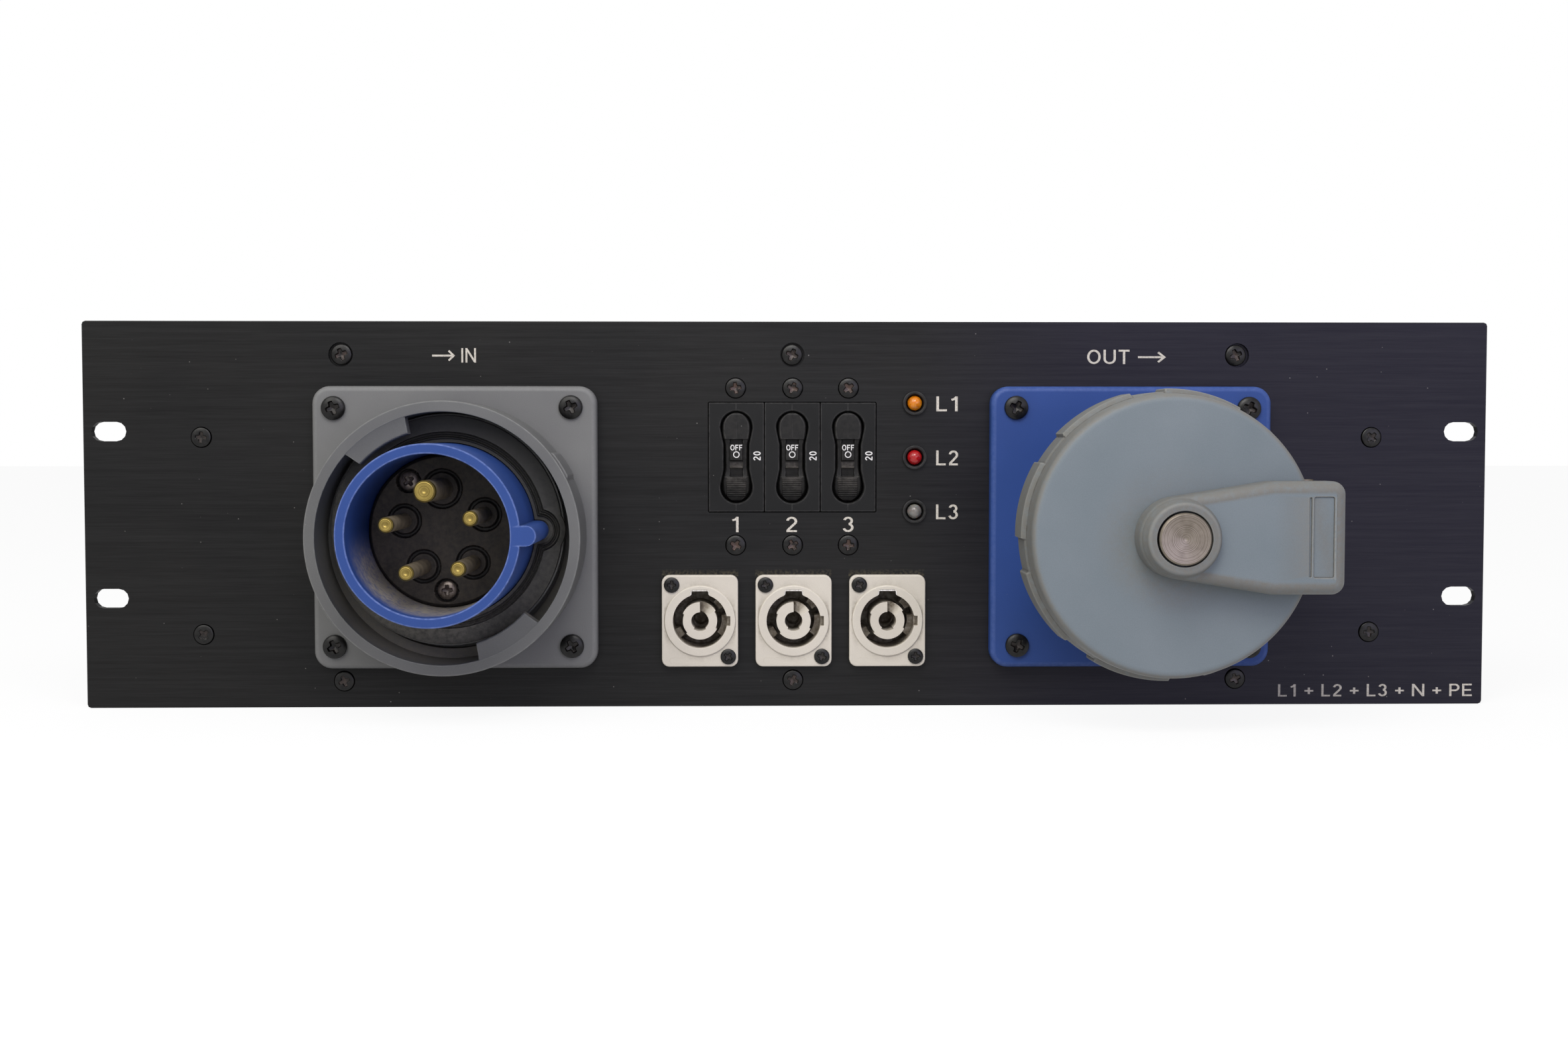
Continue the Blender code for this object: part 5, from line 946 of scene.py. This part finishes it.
# Rows of the rocker lie closer where its slots and ribs are.
rows_z = np.concatenate([np.linspace(*run) for run in (
    (ROCKER_RISE, ROCKER_RISE, 1), (15.3, 6.6, 26), (6.5, 5.9, 7), (5.6, 4.7, 5), (4.6, 4.2, 5),
    (3.9, -0.8, 14), (-0.9, -4.0, 16), (-4.2, -6.9, 16), (-6.95, -13.5, 84), (-13.6, -15.3, 10),
    (-ROCKER_RISE, -ROCKER_RISE, 1))])[:, None]
left = np.concatenate([[-1.0, -0.98], np.linspace(-0.95, -0.05, 24), [-0.02]])
shares = np.concatenate([left, [0.0], -left[::-1]])
grid_x, grid_z = rocker_half(rows_z) * shares, rows_z + 0.0 * shares
away = np.minimum(rocker_half(rows_z) * (1.0 - np.abs(shares)), ROCKER_RISE - np.abs(rows_z))
top = rocker_level(grid_x, grid_z) - 0.55 * (1.0 - ease(away / 0.7)) ** 2
lint = (np.abs(grid_x) < 2.2) * (grid_z > -3.8) * ease((-1.6 - grid_z) / 0.3)
strewn = 0.1 + 0.9 * lint + 0.5 * (np.abs(grid_x) < 3.5) * (grid_z < -6.8) \
    * ease((grid_z + 13.7) / 7.0)
BODY_BACK, BODY_FRONT, RECESS_FLOOR, ROCKER_BACK = -46.0, -3.3, -11.0, -7.0
face_edge = round_box(0.0, 0.0, BODY_HALF - 0.4, BODY_RISE - 0.4, 0.2, 2)
nose = round_box(0.0, 0.0, BODY_HALF, BODY_RISE, 0.25, 2)
case = round_box(0.0, -3.25, BODY_HALF, 30.0, 0.4, 2)
recess = [(waisted(0.55), -HAIR), (waisted(0.35), -HAIR), (waisted(0.0), -0.45),
          (waisted(0.0), RECESS_FLOOR)]
edge = [(nose, BODY_FRONT), (nose, -0.22),
        (round_box(0.0, 0.0, BODY_HALF - 0.2, BODY_RISE - 0.2, 0.2, 2), -HAIR), (face_edge, -HAIR)]
for number, x in enumerate(BREAKER_XS, 1):
    at = (x, BREAKER_Z)
    body = [wall(at, recess), wall(at, edge), flat(at, -HAIR, face_edge, waisted(0.55)),
            flat(at, RECESS_FLOOR, waisted(0.0)), wall(at, [(case, BODY_BACK), (case, BODY_FRONT)]),
            flat(at, BODY_BACK, case), flat(at, BODY_FRONT, case, nose)]
    # Two mould lines on the front, and a terminal tab above and below at the back.
    for rise, aside, half_width, half_height, corner, low, high in (
            (17.25, -0.1, 0.13, 1.3, 0.05, -0.3, 0.0), (-17.25, -0.1, 0.13, 1.3, 0.05, -0.3, 0.0),
            (12.75, 0.0, 3.15, 0.8, 0.1, -55.0, -45.5), (-19.25, 0.0, 3.15, 0.8, 0.1, -55.0, -45.5)):
        bar = round_box(x + aside, BREAKER_Z + rise, half_width, half_height, corner, 2)
        body.append(extrusion(bar, low, high, 0.02 if high == 0.0 else 0.1, "Y", 2))
    piece("breaker_%d_case" % number, "unit", body, BREAKER_NYLON,
          "breaker_%d_body" % number, slot="black_nylon")
    front = place(x + grid_x, top, BREAKER_Z + grid_z)
    rim = np.concatenate([front[:, 0], front[::-1, -1]])
    middle = place(x, ROCKER_BACK, BREAKER_Z)
    low = 0.9 * (rim - middle) * (1.0, 0.0, 1.0) + middle
    piece("breaker_%d_rocker_moulding" % number, "rocker_%d" % number,
          [patch(front), patch(np.stack([rim, low, middle + 0.0 * rim]), False, True)],
          BREAKER_NYLON, "breaker_%d_rocker" % number, slot="black_nylon", smooth=40.0,
          marks={"dust": [strewn, np.zeros(3 * len(rim))]})


# Indicator lamps: black nylon bezels with moulded acrylic domes, amber, red and clear, each
# clipped through the panel from the front.

def dome(name, deep, pale):
    """Tinted acrylic: light enters it and comes back from the bulb's white seat."""
    made, add, shader, spot = finish(name)
    swirl = add("TexNoise", {"Vector": spot, "Scale": per_metre(1.5), "Detail": 2.0}, "Fac")
    add(shader, {
        "Base Color": add("ValToRGB", (swirl,), ramp=((0.3, deep), (0.7, pale))),
        "Normal": add("Bump", {"Height": swirl, "Distance": 0.02 * MM, "Strength": 0.1}),
        "Roughness": 0.12, "Specular IOR Level": 0.35, "Coat Weight": 0.2, "Coat Roughness": 0.05,
        "Subsurface Weight": 0.3, "Subsurface Scale": 0.002})
    return made


LAMP_X = 42.8
arch = [(2.5 * np.cos(a), 0.4 + 2.5 * np.sin(a), 0) for a in np.radians(np.arange(0, 91, 10))]
for number, (z, tint, deep, pale) in enumerate(((104.6, "amber", "#a85c04", "#cf7c08"),
                                                (86.0, "red", "#8a0c11", "#ad161a"),
                                                (67.4, "clear", "#5f5c58", "#7b7873")), 1):
    at = (LAMP_X, z)
    bezel = lathe(at, small, [(2.8, -11.0, 0), (3.5, -11.0, 0), (3.5, 0.3, 0), (4.1, 0.3, 0),
                              (4.1, 1.3, 0.5), (3.3, 1.3, 0.3), (2.8, 0.6, 0)])
    piece("lamp_%d_bezel_ring" % number, "unit", [bezel], BREAKER_NYLON,
          "lamp_%d_bezel" % number, slot="black_nylon")
    lens = lathe(at, small, [(0.0, -10.0, 0), (2.5, -10.0, 0)] + arch, False)
    piece("lamp_%d_lens_dome" % number, "unit", [lens], dome(tint + "_acrylic_moulded", deep, pale),
          "lamp_%d_lens" % number, slot=tint + "_lens")


# Outlets: pale glass-filled nylon, moulded with a raised ring round a dark annular mouth,
# and a centre core whose face falls away as a short helix.  A bent steel latch lines the
# notch at the top, and each plate has a blank pill-shaped frame and an arrowhead.

# Its dark brown dust colour is what the outlets' mouths turn to deep down: dirt, and painted shade.
PALE_NYLON = moulded("pale_nylon_moulded", ("#bbb4a8", "#c4bdb1"), "#d3ccbf", "#81786a",
                     dust="#6b5f50", grit=0.25)


def ribbon(path, width, closed=False):
    """Both sides of a path: each point moved half a width square to it, further at a bend."""
    def unit(steps):
        return steps / off_zero(np.linalg.norm(steps, axis=1, keepdims=True))

    ahead = unit(np.roll(path, -1, 0) - path)
    behind = np.roll(ahead, 1, 0)
    if not closed:
        ahead[-1], behind[0] = behind[-1], ahead[0]
    mean = unit(ahead + behind)
    lean = np.maximum((mean * ahead).sum(1, keepdims=True), 0.5)
    side = np.stack([-mean[:, 1], mean[:, 0]], -1) / lean * width / 2.0
    return np.stack([path + side, path - side], 1)


LATCH_STEEL = turned_metal("spring_steel_plated", "#e4e0da", "#b3aea6", 0.5)[0]
MOUTH, MOUTH_FLOOR, PLATE_FRONT = 9.3, -14.0, 2.5
mouthed = turns(180, (1.5, 0.5, 39.5), (2.0, 0.25, 73.0, 90.0, 107.0), (30.0, 1.0, 90.0),
                (12.0, 0.8, 0.0), (3.0, 0.5, 33.0, 157.0, 222.0, 335.0), (4.0, 0.5, 232.0, 308.0))
sine, cosine = np.sin(mouthed), np.cos(mouthed)
aside = off_zero(np.abs(cosine))
# The notch at the top is a box with its upper corners cut off; the key on the right is a box.
notch = (sine > 0.0) * np.minimum(np.minimum(10.75 / off_zero(sine), 3.3 / aside),
                                  (13.4 - 0.6 * np.abs(cosine)) / off_zero(sine + np.abs(cosine)))
side_key = (cosine > 0.0) * np.minimum(10.4 / off_zero(cosine), 1.7 / off_zero(np.abs(sine)))
keyhole = np.maximum(MOUTH, notch)
mouth = np.maximum(keyhole, side_key)
shelf = window(mouthed, 26.0, 1.0, 40.0) + window(mouthed, 24.0, 1.0, 212.0) \
    + window(mouthed, 50.0, 1.0, 345.0)
core = 6.4 - 0.5 * (window(mouthed, 65.0, 1.0, 189.5) + window(mouthed, 58.0, 1.0, 4.0))
bore = 3.0 + 0.5 * window(mouthed, 76.0, 1.5, 270.0)
helix = np.clip((np.degrees(mouthed) - 36.0) / 54.0, 0.0, 1.0)
helix = (0.25 * ease(helix / 0.04) + 5.0 * helix) * (mouthed <= radians(90.01))
rows = [(0.0, -27.0, 0), (11.9, -27.0, 0), (11.9, PLATE_BACK, 0)]
rows += rolled(mouthed, 13.1, SOCKET_TOP - SOCKET_Z, 2.6, PLATE_FRONT, 0.5)
rows += [(12.3, PLATE_FRONT, 0), (12.0, 3.1, 0.25), (mouth, 3.1, 0.2), (mouth, 1.5, 0),
         (mouth, -0.5, 0), (mouth, -1.4, 0), (keyhole, -1.5, 0), (keyhole, -4.5, 0),
         (keyhole, -8.8 + 4.0 * shelf, 0), (MOUTH, -9.0 + 4.0 * shelf, 0),
         (MOUTH - 1.9 * shelf, -9.1 + 4.0 * shelf, 0), (MOUTH - 1.9 * shelf, MOUTH_FLOOR, 0),
         (core, MOUTH_FLOOR, 0), (core, 2.6 - helix, 0.12), (bore, 2.6 - helix, 0.12),
         (bore, -12.0, 0), (2.6, -12.0, 0), (2.0, MOUTH_FLOOR, 0), (0.0, -14.5, 0)]
half = np.concatenate([[(3.55, 8.9), (3.2, 9.1), (3.08, 9.5)],
                       arc((2.58, 10.0), 0.5, 0.0, 90.0, 5)])
strip = ribbon(np.concatenate([half, (half * (-1.0, 1.0))[::-1]]), 0.4)
pill = ribbon(round_box(-3.2, -13.6, 7.2, 0.95, 0.9, 8), 0.12, True)
arrowhead = ribbon(np.array([(-0.9, 15.1), (0.9, 15.1), (0.0, 13.5)]), 0.12, True)
for number, x in enumerate(SOCKET_XS, 1):
    at = (x, SOCKET_Z)
    shell = [lathe(at, mouthed, rows, False)]
    radius, _, reach = polar(shell[0][0], at)
    # Deeper in the mouth the nylon turns to the dark dust colour: dirt, and painted shade where the
    # mouth's depth shades it.
    deep_grime_and_shade = [(radius < 11.5) * ease((2.4 - reach) / 3.5)]
    for outline in (pill, arrowhead):
        outline = outline + at
        raised = np.stack([place(*np.insert(line.T, 1, level, axis=0)) for line, level in (
            (outline[:, 0], 2.49), (outline.mean(1), 2.56), (outline[:, 1], 2.49))], 1)
        shell.append(patch(raised, True, False))
        deep_grime_and_shade.append(np.zeros(raised.shape[:2]))
    piece("socket_%d_shell_moulding" % number, "unit", shell, PALE_NYLON,
          "socket_%d_shell" % number, slot="pale_nylon", marks={"dust": deep_grime_and_shade})
    screws("socket_%d_screws" % number, [(x - 9.7, SOCKET_Z + 12.4), (x + 9.7, SOCKET_Z - 12.3)],
           PLATE_FRONT + HAIR, 2.65, 1.0, 0.15)
    rings = [place(x + strip[:, s, 0], reach, SOCKET_Z + strip[:, s, 1])
             for s, reach in ((0, -4.9), (0, 3.0), (1, 3.0), (1, -4.9))]
    latch = [patch(np.stack(rings, 1), False, True)]
    latch += [(np.stack([ring[k] for ring in rings]), [[0, 1, 2, 3]]) for k in (0, -1)]
    piece("socket_%d_latch_strip" % number, "unit", latch, LATCH_STEEL,
          "socket_%d_latch" % number, slot="turned_steel",
          marks={"mark": [points[:, 0] / MM for points, _ in latch]})


# Wiring: copper wires in extruded black jackets, and two plain brass bars.  They lie inside
# the closed chassis, out of sight, and keep their solids.

JACKET = moulded("black_pvc_extruded", ("#161616", "#1e1e1e"), "#2a2a2a", "#101010")
dress(JACKET, *[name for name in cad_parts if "_wire" in name])
dress(BRASS, "neutral_bar", "earth_bar")


# Legends: pale epoxy ink, screen printed in plain strokes of one width.  The panel has
# IN and OUT, the poles and the breakers' numbers; each rocker has its off mark.

def inked(name, dull, pale):
    """Printed ink: a flat film with a faintly worn, uneven density."""
    made, add, shader, spot = finish(name)
    worn = add("TexNoise", {"Vector": spot, "Scale": per_metre(0.7), "Detail": 4.0}, "Fac")
    add(shader, {"Base Color": add("ValToRGB", (worn,), ramp=((0.3, dull), (0.55, pale))),
                 "Roughness": 0.6, "Specular IOR Level": 0.2})
    return made


PALE_INK = inked("pale_epoxy_ink_printed", "#a09a90", "#c0bab0")
WHITE_INK = inked("white_ink_pad_printed", "#bcbab8", "#d2d0ce")


def strokes_of(letter):
    """Middle lines of a character's strokes in a cell one unit high, and its width."""
    low, high = 0.065, 0.935
    stem = [(low, 0.0), (low, 1.0)]
    shapes = {
        "I": (0.13, [stem]),
        "N": (0.73, [stem, [(0.665, 0.0), (0.665, 1.0)], [(0.09, 0.95), (0.64, 0.05)]]),
        "O": (0.77, [arc((0.385, 0.5), (0.32, 0.435), 0.0, 360.0, 40)]),
        "U": (0.70, [np.concatenate([[(low, 1.0)], arc((0.35, 0.35), 0.285, 180.0, 360.0, 16),
                                     [(0.635, 1.0)]])]),
        "T": (0.62, [[(0.0, high), (0.62, high)], [(0.31, 0.0), (0.31, 0.9)]]),
        "F": (0.56, [stem, [(low, high), (0.56, high)], [(low, 0.5), (0.5, 0.5)]]),
        "L": (0.52, [[(low, 1.0), (low, low), (0.52, low)]]),
        "P": (0.60, [stem, np.concatenate([[(low, high)], arc((0.34, 0.70), (0.2, 0.235), 90.0,
                                                              -90.0, 14), [(low, 0.465)]])]),
        "E": (0.58, [stem, [(low, high), (0.57, high)], [(low, 0.5), (0.53, 0.5)],
                     [(low, low), (0.58, low)]]),
        "0": (0.53, [arc((0.265, 0.5), (0.2, 0.435), 0.0, 360.0, 36)]),
        "1": (0.40, [[(0.30, 0.0), (0.30, 1.0)], [(0.28, 0.93), (0.2, 0.82), (0.06, 0.77)]]),
        "2": (0.52, [np.concatenate([arc((0.26, 0.705), (0.195, 0.23), 170.0, -32.0, 18),
                                     [(0.1, 0.16), (0.075, low)]]), [(0.02, low), (0.5, low)]]),
        "3": (0.52, [arc((0.25, 0.73), (0.175, 0.205), 165.0, -80.0, 18),
                     arc((0.25, 0.295), (0.2, 0.23), 80.0, -165.0, 20)]),
        "+": (0.52, [[(0.26, 0.2), (0.26, 0.72)], [(0.0, 0.46), (0.52, 0.46)]]),
        ">": (1.55, [[(0.0, 0.48), (1.48, 0.48)], [(1.15, 0.82), (1.5, 0.48), (1.15, 0.14)]]),
        " ": (0.16, [])}
    return shapes[letter]


def lettering(text, x, reach, z, height, width=None, turn=0.0, weight=0.13):
    """Characters side by side, centred on a point: each stroke a ribbon along its line.

    Each stroke lies a little higher than the one before, so that no two share a plane.
    """
    start, gap, runs = 0.0, 0.16, []
    for advance, strokes in map(strokes_of, text):
        runs += [ribbon(np.asarray(line, float) + (start, 0.0), weight) for line in strokes]
        start += advance + gap
    length = start - gap
    wide = height if width is None else width / length
    c, s = np.cos(turn), np.sin(turn)
    made = []
    for k, run in enumerate(runs):
        a, b = (run[..., 0] - length / 2.0) * wide, (run[..., 1] - 0.5) * height
        made.append(patch(place(x + c * a - s * b, reach + 0.004 * k, z + s * a + c * b)))
    return made


def printed(name, body, patches, made):
    """Ink on a surface: faces turned to the front, with no thickness of their own."""
    mesh = mesh_of(name, patches)
    build = bmesh.new()
    build.from_mesh(mesh)
    build.normal_update()
    bmesh.ops.reverse_faces(build, faces=[face for face in build.faces if face.normal.y > 0.0])
    build.to_mesh(mesh)
    build.free()
    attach(show(mesh, made), body)


INK_REACH = 0.03
panel_ink = lettering("> IN", -115.0, INK_REACH, 120.9, 4.9)
panel_ink += lettering("OUT >", 115.8, INK_REACH, 120.6, 4.9, 27.0)
for label, x, width in zip("123", (-18.95, 0.47, 20.0), (2.8, 3.9, 3.8)):
    panel_ink += lettering(label, x, INK_REACH, 62.9, 5.3, width, weight=0.12)
for label, z in zip(("L1", "L2", "L3"), (104.4, 85.8, 67.2)):
    panel_ink += lettering(label, 54.1, INK_REACH, z, 5.1, 7.6)
panel_ink += lettering("L1 + L2 + L3 + N + PE", 203.8, INK_REACH, 4.9, 4.3, 68.0)
printed("panel_legends", "unit", panel_ink, PALE_INK)
ROCKER_INK = -0.8
for number, x in enumerate(BREAKER_XS, 1):
    printed("breaker_%d_rating" % number, "unit",
            lettering("20", x + 7.1, HAIR, 86.5, 2.5, 3.1, pi / 2.0, 0.15), WHITE_INK)
    off_mark = lettering("OFF", x, ROCKER_INK, BREAKER_Z + 3.3, 1.9, 4.1, weight=0.16)
    ring = ribbon(arc((x, BREAKER_Z + 0.9), 0.97, 0.0, 360.0, 36), 0.32)
    off_mark.append(patch(place(ring[..., 0], ROCKER_INK, ring[..., 1])))
    printed("breaker_%d_off_mark" % number, "rocker_%d" % number, off_mark, WHITE_INK)


# Floor and backdrop: plain white paper, lit so that it shows white; the floor keeps the
# object's shadow.

def shown_white(add):
    """One for camera, gloss and glass rays, which see the background itself, else zero."""
    path = add("LightPath").node
    seen = path.outputs["Is Camera Ray"]
    for kind in ("Glossy", "Transmission"):
        seen = add("Math", (seen, path.outputs["Is %s Ray" % kind]), operation="MAXIMUM")
    return seen


PAPER, add, shader, _ = finish("white_paper")
seen = shown_white(add)
add(shader, {"Base Color": add("MixRGB", (seen, "#d0d0d0", "#fafafa")), "Roughness": 0.9})
share = add("Math", (seen, 0.9), operation="MULTIPLY")
glow = add("Emission", ("#ffffff", 1.0))
add(PAPER.node_tree.nodes["Material Output"],
    {"Surface": add("MixShader", (share, shader.outputs[0], glow))})
floor = [(-6, -6, 0), (6, -6, 0), (6, 6, 0), (-6, 6, 0)]
show(mesh_of("floor", [(floor, [[0, 1, 2, 3]])]), PAPER)

world = bpy.context.scene.world or bpy.data.worlds.new("studio")
bpy.context.scene.world = world
world.use_nodes = True
world.node_tree.nodes.clear()
add = partial(node, world)
room, white = [add("Background", ("#ffffff", strength)) for strength in (0.54, 1.0)]
add("OutputWorld", {"Surface": add("MixShader", (shown_white(add), room, white))})


# Studio light and camera: a large soft lamp above left, a cool weaker one on the right, and
# the camera square to the panel, a little above its middle.

def soft_lamp(name, at, aim, size, power, colour):
    """A square area lamp at a point, turned to face another, in metres."""
    lamp = bpy.data.lights.new(name, "AREA")
    lamp.size = size
    lamp.energy = power
    lamp.color = linear(colour)[:3]
    holder = bpy.data.objects.new(name, lamp)
    bpy.context.collection.objects.link(holder)
    away = np.subtract(at, aim)
    holder.location = at
    holder.rotation_euler = (np.arctan2(np.hypot(away[0], away[1]), away[2]), 0.0,
                             np.arctan2(away[0], -away[1]))


soft_lamp("key", (-0.75, -1.15, 1.2), (0.0, 0.0, 0.06), 1.2, 15.8, "#fffdf8")
soft_lamp("top", (0.02, -0.45, 0.48), (0.0, 0.0, 0.12), 0.25, 1.5, "#ffffff")
soft_lamp("fill", (0.9, -1.5, 0.25), (0.0, 0.0, 0.06), 1.3, 9.0, "#d6d2ff")

camera_data = bpy.data.cameras.new("camera")
camera_data.lens = 42.24
camera_data.sensor_width = 36.0
camera = bpy.data.objects.new("camera", camera_data)
bpy.context.collection.objects.link(camera)
camera.location = (-0.0162, -0.69265, 0.0917)
camera.rotation_euler = (radians(90.0 - 2.45), 0.0, radians(-1.27))
bpy.context.scene.camera = camera
bpy.context.scene.view_settings.view_transform = "Standard"
